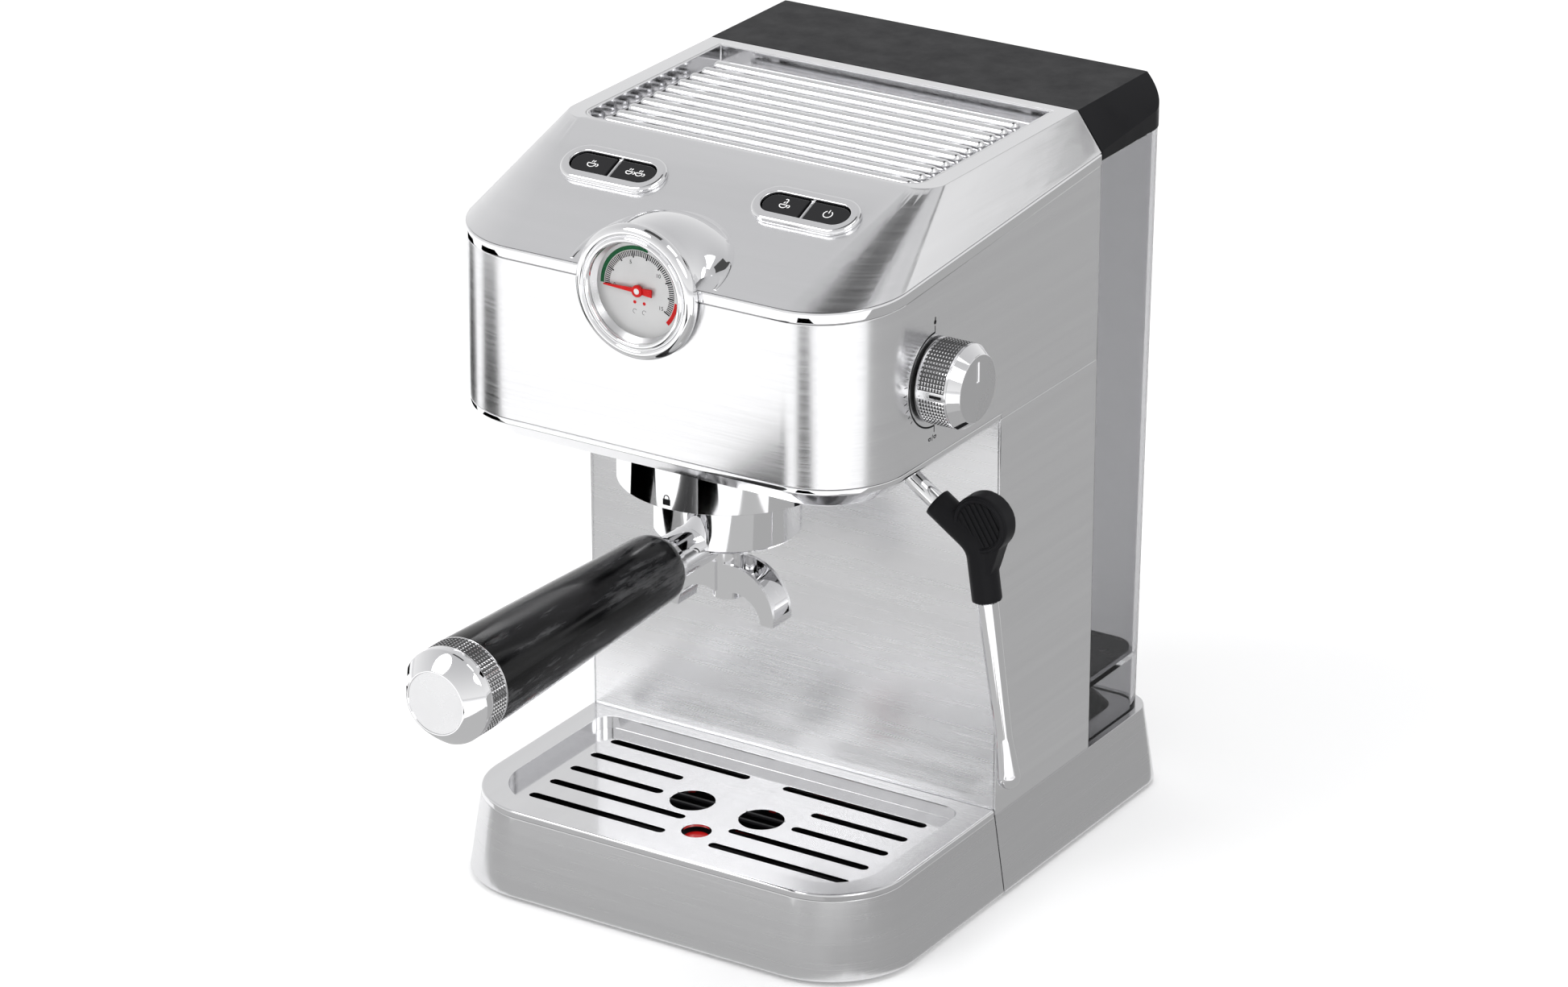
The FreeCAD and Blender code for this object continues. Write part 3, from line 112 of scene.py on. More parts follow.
class EspressoSizes(bpy.types.PropertyGroup):
    """Sizes that a user may change; the defaults are in metres"""
    edge_round: FloatProperty(name="Edge round",
                              description="Round on the edges of the steel shells",
                              default=EDGE_ROUND, min=0.0, subtype="DISTANCE", unit="LENGTH")
    knurl_depth: FloatProperty(name="Knurl depth", description="Height of the pyramids on the knob",
                               default=0.00045, min=0.0, subtype="DISTANCE", unit="LENGTH")
    knurl_columns: IntProperty(name="Knurl columns", description="Pyramids round the knob",
                               default=60, min=12)
    dial_ticks: IntProperty(name="Dial ticks", description="Ticks on the pressure dial",
                            default=64, min=2)
    print_height: FloatProperty(name="Print height", description="Thickness of printed marks",
                                default=0.00008, min=0.0, subtype="DISTANCE", unit="LENGTH")


class EspressoColours(bpy.types.PropertyGroup):
    """Colours that a user may change"""
    steel: FloatVectorProperty(name="Steel", description="Brushed steel of the shells",
                               default=(0.82, 0.82, 0.83), subtype="COLOR", size=3)
    chrome: FloatVectorProperty(name="Chrome", description="Plated trim and the brew group",
                                default=(0.84, 0.84, 0.85), subtype="COLOR", size=3)
    black: FloatVectorProperty(name="Black", description="Black plastic of the lid and the grip",
                               default=(0.008, 0.008, 0.009), subtype="COLOR", size=3)
    streak: FloatVectorProperty(name="Streak", description="Grey streaks in the handle",
                                default=(0.05, 0.05, 0.052), subtype="COLOR", size=3)
    smoke: FloatVectorProperty(name="Smoke", description="Tint of the water tank",
                               default=(0.50, 0.50, 0.51), subtype="COLOR", size=3)
    red: FloatVectorProperty(name="Red", description="Needle, float and the dial's red marks",
                             default=(0.62, 0.012, 0.012), subtype="COLOR", size=3)
    green: FloatVectorProperty(name="Green", description="Green arc of the dial",
                               default=(0.012, 0.11, 0.04), subtype="COLOR", size=3)
    dial: FloatVectorProperty(name="Dial", description="Silver face of the dial",
                              default=(0.60, 0.60, 0.60), subtype="COLOR", size=3)
    floor: FloatVectorProperty(name="Floor", description="The plain floor",
                               default=(0.93, 0.93, 0.93), subtype="COLOR", size=3)


def sizes():
    """The scene's own sizes."""
    return bpy.context.scene.espresso_sizes


def colours():
    """The scene's own colours."""
    return bpy.context.scene.espresso_colours


# ---------------------------------------------------------------- material building
def finish(name, colour, roughness, metallic=0.0, **sockets):
    """A material with its constant values on the shader's own sockets."""
    material = bpy.data.materials.new("espresso_" + name)
    material.use_nodes = True
    shader = material.node_tree.nodes["Principled BSDF"]
    shader.inputs["Base Color"].default_value = (*colour, 1.0)
    shader.inputs["Roughness"].default_value = roughness
    shader.inputs["Metallic"].default_value = metallic
    for socket, value in sockets.items():
        shader.inputs[socket.replace("_", " ")].default_value = value
    return material


def grain(material, stretch, detail=3.0, roughness=0.6):
    """A noise pattern on Object coordinates; stretch is its cells per metre along X, Y and Z."""
    nodes = material.node_tree.nodes
    links = material.node_tree.links
    place = nodes.new("ShaderNodeTexCoord")
    mapping = nodes.new("ShaderNodeMapping")
    mapping.inputs["Scale"].default_value = stretch
    pattern = nodes.new("ShaderNodeTexNoise")
    pattern.inputs["Scale"].default_value = 1.0
    pattern.inputs["Detail"].default_value = detail
    pattern.inputs["Roughness"].default_value = roughness
    links.new(place.outputs["Object"], mapping.inputs["Vector"])
    links.new(mapping.outputs["Vector"], pattern.inputs["Vector"])
    return pattern.outputs["Fac"]


def rough_from(material, pattern, low, high):
    """Roughness that follows the pattern between two values."""
    nodes = material.node_tree.nodes
    links = material.node_tree.links
    spread = nodes.new("ShaderNodeMapRange")
    spread.inputs["From Min"].default_value = 0.3
    spread.inputs["From Max"].default_value = 0.7
    spread.inputs["To Min"].default_value = low
    spread.inputs["To Max"].default_value = high
    links.new(pattern, spread.inputs["Value"])
    links.new(spread.outputs["Result"], nodes["Principled BSDF"].inputs["Roughness"])


def relief_from(material, pattern, height, strength):
    """A shallow bump that follows the pattern; height is in metres."""
    nodes = material.node_tree.nodes
    links = material.node_tree.links
    bump = nodes.new("ShaderNodeBump")
    bump.inputs["Strength"].default_value = strength
    bump.inputs["Distance"].default_value = height
    links.new(pattern, bump.inputs["Height"])
    links.new(bump.outputs["Normal"], nodes["Principled BSDF"].inputs["Normal"])


def colour_from(material, pattern, stops):
    """Colours by the pattern's value; stops are (value, colour)."""
    nodes = material.node_tree.nodes
    links = material.node_tree.links
    ramp = nodes.new("ShaderNodeValToRGB")
    steps = ramp.color_ramp.elements
    while len(steps) < len(stops):
        steps.new(0.5)
    for step, (value, colour) in zip(steps, stops):
        step.position = value
        step.color = (*colour, 1.0)
    links.new(pattern, ramp.inputs["Fac"])
    links.new(ramp.outputs["Color"], nodes["Principled BSDF"].inputs["Base Color"])


def shade(colour, factor):
    """The colour made darker or lighter."""
    return tuple(min(channel * factor, 1.0) for channel in colour)


def brushed(name, colour, low, high, stretch, height=0.0000015):
    """Steel with brush lines: long cells along the brushing, short ones across it."""
    material = finish(name, colour, (low + high) / 2, 1.0)
    lines = grain(material, stretch, detail=4.0)
    rough_from(material, lines, low, high)
    relief_from(material, lines, height, 0.25)
    broad = grain(material, tuple(value * 0.12 for value in stretch), detail=2.0)
    colour_from(material, broad, [(0.3, shade(colour, 0.98)), (0.7, shade(colour, 1.02))])
    return material


def plated(name, colour, low, high, wave=0.000002):
    """Chrome plating: nearly a mirror, with slight waviness and faint haze."""
    material = finish(name, colour, (low + high) / 2, 1.0)
    rough_from(material, grain(material, (60, 60, 60), detail=5.0), low, high)
    relief_from(material, grain(material, (110, 110, 110), detail=1.0), wave, 0.5)
    return material


def moulded(name, colour, low, high, cell=2200, height=0.00001, **sockets):
    """Moulded plastic or rubber with a fine texture and a little unevenness in its gloss."""
    material = finish(name, colour, (low + high) / 2, **sockets)
    rough_from(material, grain(material, (90, 90, 90), detail=4.0), low, high)
    relief_from(material, grain(material, (cell, cell, cell), detail=2.0), height, 0.4)
    broad = grain(material, (35, 35, 35), detail=2.0)
    colour_from(material, broad, [(0.3, shade(colour, 0.94)), (0.7, shade(colour, 1.07))])
    return material


def marbled(name):
    """Black resin with grey streaks that run along the handle."""
    black = tuple(colours().black)
    material = finish(name, black, 0.16, Specular_IOR_Level=0.22)
    streaks = grain(material, (95, 11, 70), detail=6.0, roughness=0.68)
    colour_from(material, streaks, [(0.46, shade(black, 0.2)), (0.56, shade(black, 0.8)),
                                    (0.62, tuple(colours().streak)), (0.68, shade(black, 0.5))])
    rough_from(material, grain(material, (140, 30, 140), detail=3.0), 0.10, 0.22)
    return material


def clear(name, tint, low, high, ior):
    """See-through glass or plastic with a faint haze."""
    material = finish(name, tint, (low + high) / 2, Transmission_Weight=1.0, IOR=ior)
    rough_from(material, grain(material, (70, 70, 70), detail=4.0), low, high)
    return material


def make_materials():
    """Every finish, by its slot in the frame's record or by the piece that it is for."""
    c = colours()
    steel = tuple(c.steel)
    chrome = tuple(c.chrome)
    black = tuple(c.black)
    red = tuple(c.red)
    level_brush = (22, 22, 1500)
    return {
        "brushed_steel": brushed("brushed_steel", steel, 0.20, 0.27, level_brush),
        # Painted shade: a darker copy of the brushed steel for the base and the drip tray, standing
        # in for the dimmer reflections on them.
        "shaded_base_steel": brushed("shaded_base_steel", shade(steel, 0.85), 0.22, 0.28, level_brush),
        "satin_steel": brushed("satin_steel", shade(steel, 1.06), 0.26, 0.28, (12, 12, 900),
                               0.0000002),
        "polished_steel": brushed("polished_steel", shade(steel, 0.94), 0.09, 0.14,
                                  (900, 25, 900), 0.0000006),
        "screw_steel": brushed("screw_steel", shade(steel, 0.72), 0.28, 0.40, (500, 500, 500)),
        "knurled_steel": brushed("knurled_steel", shade(steel, 0.93), 0.12, 0.2,
                                 (700, 700, 700), 0.000001),
        # Painted shade: a near-black copy of the steel, put on two sides of each knurl pyramid in
        # place of the shading in the knurl's valleys.
        "knurl_shade": brushed("knurl_shade", shade(steel, 0.12), 0.25, 0.35,
                               (700, 700, 700), 0.000001),
        "chrome": plated("chrome", chrome, 0.025, 0.06),
        "satin_chrome": plated("satin_chrome", shade(chrome, 0.82), 0.24, 0.32),
        "black_plastic": moulded("black_plastic", shade(black, 1.3), 0.34, 0.46,
                                 Specular_IOR_Level=0.08),
        "gloss_black": moulded("gloss_black", black, 0.08, 0.15, 300, 0.000002,
                               Specular_IOR_Level=0.3),
        "marbled_resin": marbled("marbled_resin"),
        "red_plastic": moulded("red_plastic", red, 0.18, 0.28, 300, 0.000004),
        "red_paint": moulded("red_paint", red, 0.35, 0.45, 600, 0.000003, Specular_IOR_Level=0.15),
        "green_paint": moulded("green_paint", tuple(c.green), 0.35, 0.45, 600, 0.000003,
                               Specular_IOR_Level=0.15),
        "white_paint": moulded("white_paint", (0.82, 0.82, 0.82), 0.3, 0.42, 600, 0.000003),
        "black_paint": moulded("black_paint", shade(black, 0.8), 0.35, 0.5, 600, 0.000003,
                               Specular_IOR_Level=0.1),
        "smoke_edge": moulded("smoke_edge", (0.016, 0.016, 0.017), 0.2, 0.3,
                              Specular_IOR_Level=0.3),
        "dial_face": moulded("dial_face", tuple(c.dial), 0.35, 0.45, 900, 0.000002, Metallic=0.35),
        "clear_glass": clear("clear_glass", (0.99, 0.99, 0.99), 0.0, 0.02, 1.04),
        "smoked_plastic": clear("smoked_plastic", tuple(c.smoke), 0.03, 0.07, 1.16),
        "rubber": moulded("rubber", (0.022, 0.022, 0.022), 0.6, 0.75, 1500, 0.00002),
        "brass": plated("brass", (0.72, 0.52, 0.22), 0.18, 0.3),
        "cast_aluminium": moulded("cast_aluminium", (0.55, 0.55, 0.56), 0.4, 0.55, 900, 0.00005,
                                  Metallic=1.0),
        "board_plastic": moulded("board_plastic", (0.02, 0.13, 0.05), 0.3, 0.42, 900),
        "pump_plastic": moulded("pump_plastic", (0.05, 0.05, 0.055), 0.4, 0.55),
        "silicone": moulded("silicone", (0.62, 0.62, 0.60), 0.35, 0.5),
    }


FINISHES = {}


def coat(name):
    """The material of that name, made on first use with all the others."""
    if not FINISHES:
        FINISHES.update(make_materials())
    return FINISHES[name]


# ---------------------------------------------------------------- modelling helpers
SHARP = 33


def alone(piece=None):
    """Leaves edit mode and selects nothing but the piece."""
    if bpy.context.mode != "OBJECT":
        bpy.ops.object.mode_set(mode="OBJECT")
    bpy.ops.object.select_all(action="DESELECT")
    if piece is not None:
        piece.select_set(True)
        bpy.context.view_layer.objects.active = piece
    return piece


def fresh(name):
    """Names the object just added and moves its place into its mesh."""
    piece = bpy.context.object
    piece.name = name
    piece.data.name = name
    bpy.ops.object.transform_apply(location=True, rotation=True, scale=True)
    return piece


def edit(piece):
    """Enters edit mode on the piece with all of it selected, corner by corner."""
    alone(piece)
    bpy.ops.object.mode_set(mode="EDIT")
    bpy.ops.mesh.select_mode(type="VERT")
    bpy.ops.mesh.select_all(action="SELECT")


def choose(piece, test, kind="FACE"):
    """Selects, in edit mode, the faces, edges or corners that pass the test."""
    bpy.ops.mesh.select_mode(type=kind)
    bpy.ops.mesh.select_all(action="DESELECT")
    mesh = bmesh.from_edit_mesh(piece.data)
    items = {"VERT": mesh.verts, "EDGE": mesh.edges, "FACE": mesh.faces}[kind]
    for item in items:
        if test(item):
            item.select_set(True)
    mesh.select_flush_mode()
    bmesh.update_edit_mesh(piece.data)


def apply_modifier(piece, kind, **settings):
    """Adds one modifier to the piece and applies it."""
    alone(piece)
    modifier = piece.modifiers.new(kind.title(), kind)
    for key, value in settings.items():
        setattr(modifier, key, value)
    bpy.ops.object.modifier_apply(modifier=modifier.name)


def smooth(piece, degrees):
    """Smooth shading across edges that turn by less than the angle."""
    alone(piece)
    bpy.ops.object.shade_smooth_by_angle(angle=radians(degrees))


def settle(piece, body, slot, replaced=(), material=None):
    """Gives a finished piece its material, the one named or else its slot's, and its body, and
    hides the nodes that it replaces.
    """
    alone(piece)
    bpy.ops.object.transform_apply(location=True, rotation=True, scale=True)
    if not piece.data.materials:
        piece.data.materials.append(coat(material or slot))
    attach(piece, body)
    if replaced:
        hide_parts(*replaced)
    return piece


def round_edges(piece, width, segments=2):
    """Rounds every edge that turns by more than SHARP, and keeps the flat faces flat."""
    apply_modifier(piece, "BEVEL", width=width, segments=segments, limit_method="ANGLE",
                   angle_limit=radians(SHARP), use_clamp_overlap=True)
    smooth(piece, SHARP)
    apply_modifier(piece, "WEIGHTED_NORMAL", keep_sharp=True, weight=80)


def copy_of(node, name):
    """A copy of a frame node, with its loose triangles merged into whole faces."""
    alone(frame["nodes"][node])
    bpy.ops.object.duplicate()
    piece = bpy.context.object
    bpy.ops.object.parent_clear(type="CLEAR_KEEP_TRANSFORM")
    piece.name = name
    piece.data.name = name
    piece.data.materials.clear()
    bpy.ops.mesh.customdata_custom_splitnormals_clear()
    edit(piece)
    bpy.ops.mesh.remove_doubles(threshold=HAIR / 5)
    bpy.ops.mesh.dissolve_limited(angle_limit=radians(0.6))
    alone(piece)
    return piece


def softened(node, name, body, slot, width, material=None, segments=2):
    """A frame node's shape with rounded edges, in the node's place."""
    piece = copy_of(node, name)
    round_edges(piece, width, segments)
    return settle(piece, body, slot, (node,), material)


# Each axis, and the direction out of it in which a profile is drawn.
AXES = {"X": Vector((1, 0, 0)), "Y": Vector((0, 1, 0)), "Z": Vector((0, 0, 1))}
START = {"X": Vector((0, 0, 1)), "Y": Vector((1, 0, 0)), "Z": Vector((1, 0, 0))}


def turned(name, profile, centre, axis, steps=96, turn=WHOLE_TURN, start=None):
    """Spins a closed profile of (radius, distance along the axis) points, in millimetres."""
    along = AXES[axis]
    out = start if start is not None else START[axis]
    points = [centre + out * (r * MM) + along * (a * MM) for r, a in profile]
    alone()
    bpy.ops.mesh.primitive_plane_add(size=MM, location=points[0])
    piece = fresh(name)
    edit(piece)
    bpy.ops.mesh.merge(type="CENTER")
    for before, after in zip(points, points[1:]):
        bpy.ops.mesh.extrude_region_move(TRANSFORM_OT_translate={"value": after - before})
    bpy.ops.mesh.select_all(action="SELECT")
    bpy.ops.mesh.remove_doubles(threshold=HAIR / 10)
    ends = (points[0], points[-1])
    whole = abs(turn - WHOLE_TURN) < 0.001
    on_axis = all(abs(r) < 0.001 for r, _ in (profile[0], profile[-1]))
    if not on_axis:
        choose(piece, lambda v: any((v.co - end).length < HAIR for end in ends), "VERT")
        bpy.ops.mesh.edge_face_add()
    if not whole:
        bpy.ops.mesh.select_all(action="SELECT")
        bpy.ops.mesh.edge_face_add()
    bpy.ops.mesh.select_all(action="SELECT")
    bpy.ops.mesh.spin(steps=steps, angle=-turn, center=centre, axis=along)
    bpy.ops.mesh.select_all(action="SELECT")
    bpy.ops.mesh.remove_doubles(threshold=HAIR / 5)
    bpy.ops.mesh.normals_make_consistent(inside=False)
    alone(piece)
    return piece


def block(name, low, high):
    """A box between two corners, to be shaped further or joined into a mark."""
    alone()
    bpy.ops.mesh.primitive_cube_add(size=1, location=(low + high) / 2)
    bpy.context.object.scale = high - low
    return fresh(name)


def joined(pieces, name):
    """The pieces as one object of that name."""
    alone(pieces[0])
    for piece in pieces[1:]:
        piece.select_set(True)
    bpy.ops.object.join()
    piece = bpy.context.object
    piece.name = name
    piece.data.name = name
    return piece


def printed(name, arcs, bars, place, turn, stand=0.0):
    """A flat printed mark, half sunk in its face.

    Arcs are (x, y, radius, width, start, sweep) with both angles in degrees, and bars are
    (x0, y0, x1, y1, width).
    """
    height = sizes().print_height
    low = -height * 0.5 + stand
    high = low + height
    strokes = []
    for x, y, radius, width, first, sweep in arcs:
        inner = max(radius - width / 2, 0.02)
        outer = radius + width / 2
        profile = [(inner, low / MM), (outer, low / MM), (outer, high / MM), (inner, high / MM)]
        begin = Vector((cos(radians(first)), sin(radians(first)), 0))
        steps = max(6, int(abs(sweep) / 15 * max(1.0, radius / 3)))
        strokes.append(turned(name, profile, mm(x, y, 0), "Z", steps, radians(sweep), begin))
    for x0, y0, x1, y1, width in bars:
        run = Vector((x1 - x0, y1 - y0, 0))
        bar = block(name, Vector((0, -width / 2 * MM, low)),
                    Vector((run.length * MM, width / 2 * MM, high)))
        bar.rotation_euler.z = run.xy.angle_signed(Vector((1, 0)))
        bar.location = mm(x0, y0, 0)
        bpy.ops.object.transform_apply(location=True, rotation=True, scale=True)
        strokes.append(bar)
    mark = joined(strokes, name)
    mark.rotation_euler = turn
    mark.location = place
    bpy.ops.object.transform_apply(location=True, rotation=True, scale=True)
    return mark


FACING_FRONT = (QUARTER, 0, 0)
FACING_RIGHT = (QUARTER, 0, QUARTER)


def on_slope(x, up, lift):
    """The point of the hood's front slope at that X and distance up the slope, lifted off it."""
    return SLOPE_FRONT + Vector((x * MM, (up * cos(SLOPE) - lift * sin(SLOPE)) * MM,
                                 (up * sin(SLOPE) + lift * cos(SLOPE)) * MM))


def two_finishes(piece, test, first, second):
    """The first finish all over, and the second on the faces that pass the test."""
    piece.data.materials.append(coat(first))
    piece.data.materials.append(coat(second))
    for face in piece.data.polygons:
        face.material_index = 1 if test(face) else 0


def knurled_drum(name, axis, low, high, centre, radius, rows, columns, depth, rim, plain):
    """A drum whose side is covered in small pyramids, but for a rim at each end.

    Its faces are plain as well where plain() says so. Two sides of each pyramid, one facing along
    the drum towards the camera and one facing round it, get a dark finish: painted shade in
    place of the shading in the knurl's valleys.
    """
    along = AXES[axis]
    turn = (0, QUARTER, 0) if axis == "X" else FACING_FRONT
    alone()
    bpy.ops.mesh.primitive_cylinder_add(vertices=columns, radius=radius - depth, depth=high - low,
                                        location=centre, rotation=turn)
    piece = fresh(name)
    base = centre - along * centre.dot(along)
    cuts = [low + rim + (high - low - 2 * rim) * i / rows for i in range(rows + 1)]
    edit(piece)
    for cut in cuts:
        bpy.ops.mesh.select_all(action="SELECT")
        bpy.ops.mesh.bisect(plane_co=base + along * cut, plane_no=along)

    def on_side(face):
        spot = face.calc_center_median()
        side = abs(face.normal.dot(along)) < 0.5
        return side and low + rim < spot.dot(along) < high - rim and not plain(spot)

    def on_rim(face):
        spot = face.calc_center_median()
        side = abs(face.normal.dot(along)) < 0.5
        return side and (spot.dot(along) < low + rim or spot.dot(along) > high - rim)

    # Painted shade: picks the pyramid sides that take the near-black knurl_shade finish in place of
    # shading.
    def in_shade(face):
        out = face.center - base
        out = (out - along * out.dot(along)).normalized()
        far = face.normal.dot(along) * (1 if axis == "X" else -1)
        across = face.normal.dot(along.cross(out))
        return face.normal.dot(out) > 0.2 and (far > 0.3 or across > 0.3)

    choose(piece, on_side)
    cell = min(WHOLE_TURN * radius / columns, cuts[1] - cuts[0])
    bpy.ops.mesh.inset(thickness=cell * 0.36, depth=depth, use_individual=True)
    choose(piece, on_rim)
    bpy.ops.mesh.extrude_region_shrink_fatten(TRANSFORM_OT_shrink_fatten={"value": depth * 0.8})
    edit(piece)
    bpy.ops.mesh.remove_doubles(threshold=HAIR / 5)
    bpy.ops.mesh.normals_make_consistent(inside=False)
    alone(piece)
    # The dark second finish on those sides is painted shade.
    two_finishes(piece, in_shade, "knurled_steel", "knurl_shade")
    smooth(piece, 12)
    return piece


# ---------------------------------------------------------------- the pieces
class EspressoOperator:
    """What every operator of this file shares"""
    bl_options = {"REGISTER", "UNDO"}


class ESPRESSO_OT_stage(EspressoOperator, bpy.types.Operator):
    """Camera, floor, soft lights and the cards that the polished metal reflects"""
    bl_idname = "espresso.stage"
    bl_label = "Stage"

    # Metres: name, place, aim, width, power in watts.
    lights = (
        ("key_light", (-1.1, -1.6, 2.2), (0, 0, 0.15), 1.6, 30),
        ("fill_light", (1.9, -0.9, 1.5), (0, 0, 0.15), 1.2, 9),
        ("top_light", (0.1, 0.3, 2.4), (0, 0, 0.1), 1.4, 16),
    )
    # Metres: name, place, width and depth, turn in degrees, brightness.
    cards = (
        ("side_card", (0.993, 0.635, 0.0022), (1.774, 1.67), (0, 0, 0), 0.45),
        ("left_card", (-0.56, -0.36, 0.002), (0.5, 0.32), (0, 0, 30), 0.0),
        ("front_card", (0.10, -0.72, 0.002), (0.20, 0.42), (0, 0, 0), 0.0),
        ("corner_card", (0.50, -0.60, 0.002), (0.36, 0.40), (0, 0, 0), 1.7),
        ("edge_card", (-0.70, 0.10, 0.002), (0.36, 0.26), (0, 0, 0), 0.0),
        ("glow_card", (-0.27, -0.64, 0.002), (0.36, 0.40), (0, 0, 0), 1.3),
        ("low_card", (0.04, -0.27, 0.002), (0.80, 0.28), (0, 0, 0), 0.55),
        ("upper_card", (0.62, 0.82, 0.80), (0.5, 0.5), (54, 0, -37), 0.0),
        ("overhead_card", (-0.06, 0.02, 1.6), (0.62, 0.8), (0, 0, 0), 0.08),
        ("bright_card", (0.82, -0.2, 1.6), (0.6, 0.9), (0, 0, 0), 1.6),
    )

    def execute(self, context):
        alone()
        bpy.ops.object.camera_add(location=(1.19263, -1.91131, 1.10297),
                                  rotation=(radians(90 - 22.868), 0, radians(32.237)))
        camera = context.object
        camera.name = "camera"
        camera.data.lens = 135
        camera.data.sensor_width = 36
        context.scene.camera = camera
        context.scene.view_settings.view_transform = "Standard"
        self.make_floor()
        self.make_world(context)
        for light in self.lights:
            self.make_light(*light)
        for card in self.cards:
            self.make_card(*card)
        return {"FINISHED"}

    def make_floor(self):
        """A plain pale floor that glows faintly, so that it stays even far off."""
        alone()
        bpy.ops.mesh.primitive_plane_add(size=30, location=(0, 0, 0))
        floor = fresh("floor")
        paper = finish("floor_paper", tuple(colours().floor), 0.9, Emission_Color=(1, 1, 1, 1),
                       Emission_Strength=0.10)
        rough_from(paper, grain(paper, (4, 4, 4)), 0.85, 0.95)
        floor.data.materials.append(paper)

    def make_world(self, context):
        """White light from the sides, a little greyer from above."""
        world = bpy.data.worlds.new("studio")
        context.scene.world = world
        world.use_nodes = True
        nodes = world.node_tree.nodes
        links = world.node_tree.links
        place = nodes.new("ShaderNodeTexCoord")
        split = nodes.new("ShaderNodeSeparateXYZ")
        ramp = nodes.new("ShaderNodeValToRGB")
        steps = ramp.color_ramp.elements
        steps[0].position = 0.05
        steps[0].color = (1.0, 1.0, 1.0, 1)
        steps[1].position = 0.95
        steps[1].color = (0.62, 0.62, 0.63, 1)
        links.new(place.outputs["Generated"], split.inputs["Vector"])
        links.new(split.outputs["Z"], ramp.inputs["Fac"])
        links.new(ramp.outputs["Color"], nodes["Background"].inputs["Color"])
        nodes["Background"].inputs["Strength"].default_value = 0.95

    def make_light(self, name, place, aim, size, power):
        """A soft round light; the one above is kept out of the metal's reflections."""
        alone()
        turn = (Vector(aim) - Vector(place)).to_track_quat("-Z", "Y").to_euler()
        bpy.ops.object.light_add(type="AREA", location=place, rotation=turn)
        light = bpy.context.object
        light.name = name
        light.data.shape = "DISK"
        light.data.size = size
        light.data.energy = power
        light.visible_glossy = name != "top_light"

    def make_card(self, name, place, size, turn, tone):
        """A grey card that only reflections see."""
        alone()
        bpy.ops.mesh.primitive_plane_add(size=1, location=place,
                                         rotation=[radians(angle) for angle in turn])
        bpy.context.object.scale = (*size, 1)
        card = fresh(name)
        grey = finish(name, (0, 0, 0), 1.0, Specular_IOR_Level=0.0, Emission_Color=(1, 1, 1, 1),
                      Emission_Strength=tone)
        card.data.materials.append(grey)
        card.visible_camera = False
        card.visible_diffuse = False
        card.visible_shadow = False
        card.visible_transmission = False


class ESPRESSO_OT_finishes(EspressoOperator, bpy.types.Operator):
    """The record's finish on every node of the frame that stays in view"""
    bl_idname = "espresso.finishes"
    bl_label = "Finishes on the frame"

    def execute(self, context):
        for part in frame["record"]["subparts"]:
            node = frame["nodes"][part["node"]]
            node.data.materials.clear()
            node.data.materials.append(coat(part["material_slot"]))
        return {"FINISHED"}


class ESPRESSO_OT_shells(EspressoOperator, bpy.types.Operator):
    """Steel shells, trims and the lid, with rounded edges"""
    bl_idname = "espresso.shells"
    bl_label = "Shells"

    # Node, body, finish, width of the edges' round.
    shells = (
        ("head_shell", "machine", "brushed_steel", 0.6),
        ("head_bottom_trim", "machine", "chrome", 0.5),
        ("head_pan", "machine", "polished_steel", 0.8),
        ("belt_trim", "machine", "chrome", 1.0),
        ("hood", "machine", "brushed_steel", 1.2),
        ("cup_tray", "machine", "polished_steel", 0.5),
        ("column_front_panel", "machine", "satin_steel", 0.4),
        ("column_side_left", "machine", "brushed_steel", 0.4),
        ("column_side_right", "machine", "brushed_steel", 0.4),
        ("rear_bulkhead", "machine", "black_plastic", 0.4),
        # The base and the drip tray take the darker copy of the steel, which is painted shade.
        ("rear_base_shell", "machine", "shaded_base_steel", 0.6),
        ("drip_tray_shell", "drip_tray", "shaded_base_steel", 0.6),
        ("tank_lid", "lid", "black_plastic", 1.4),
        ("tank_seat", "machine", "black_plastic", 1.0),
    )

    def execute(self, context):
        factor = sizes().edge_round / EDGE_ROUND
        slots = {part["node"]: part["material_slot"] for part in frame["record"]["subparts"]}
        for node, body, material, width in self.shells:
            softened(node, node + "_finish", body, slots[node], width * MM * factor, material)
        return {"FINISHED"}


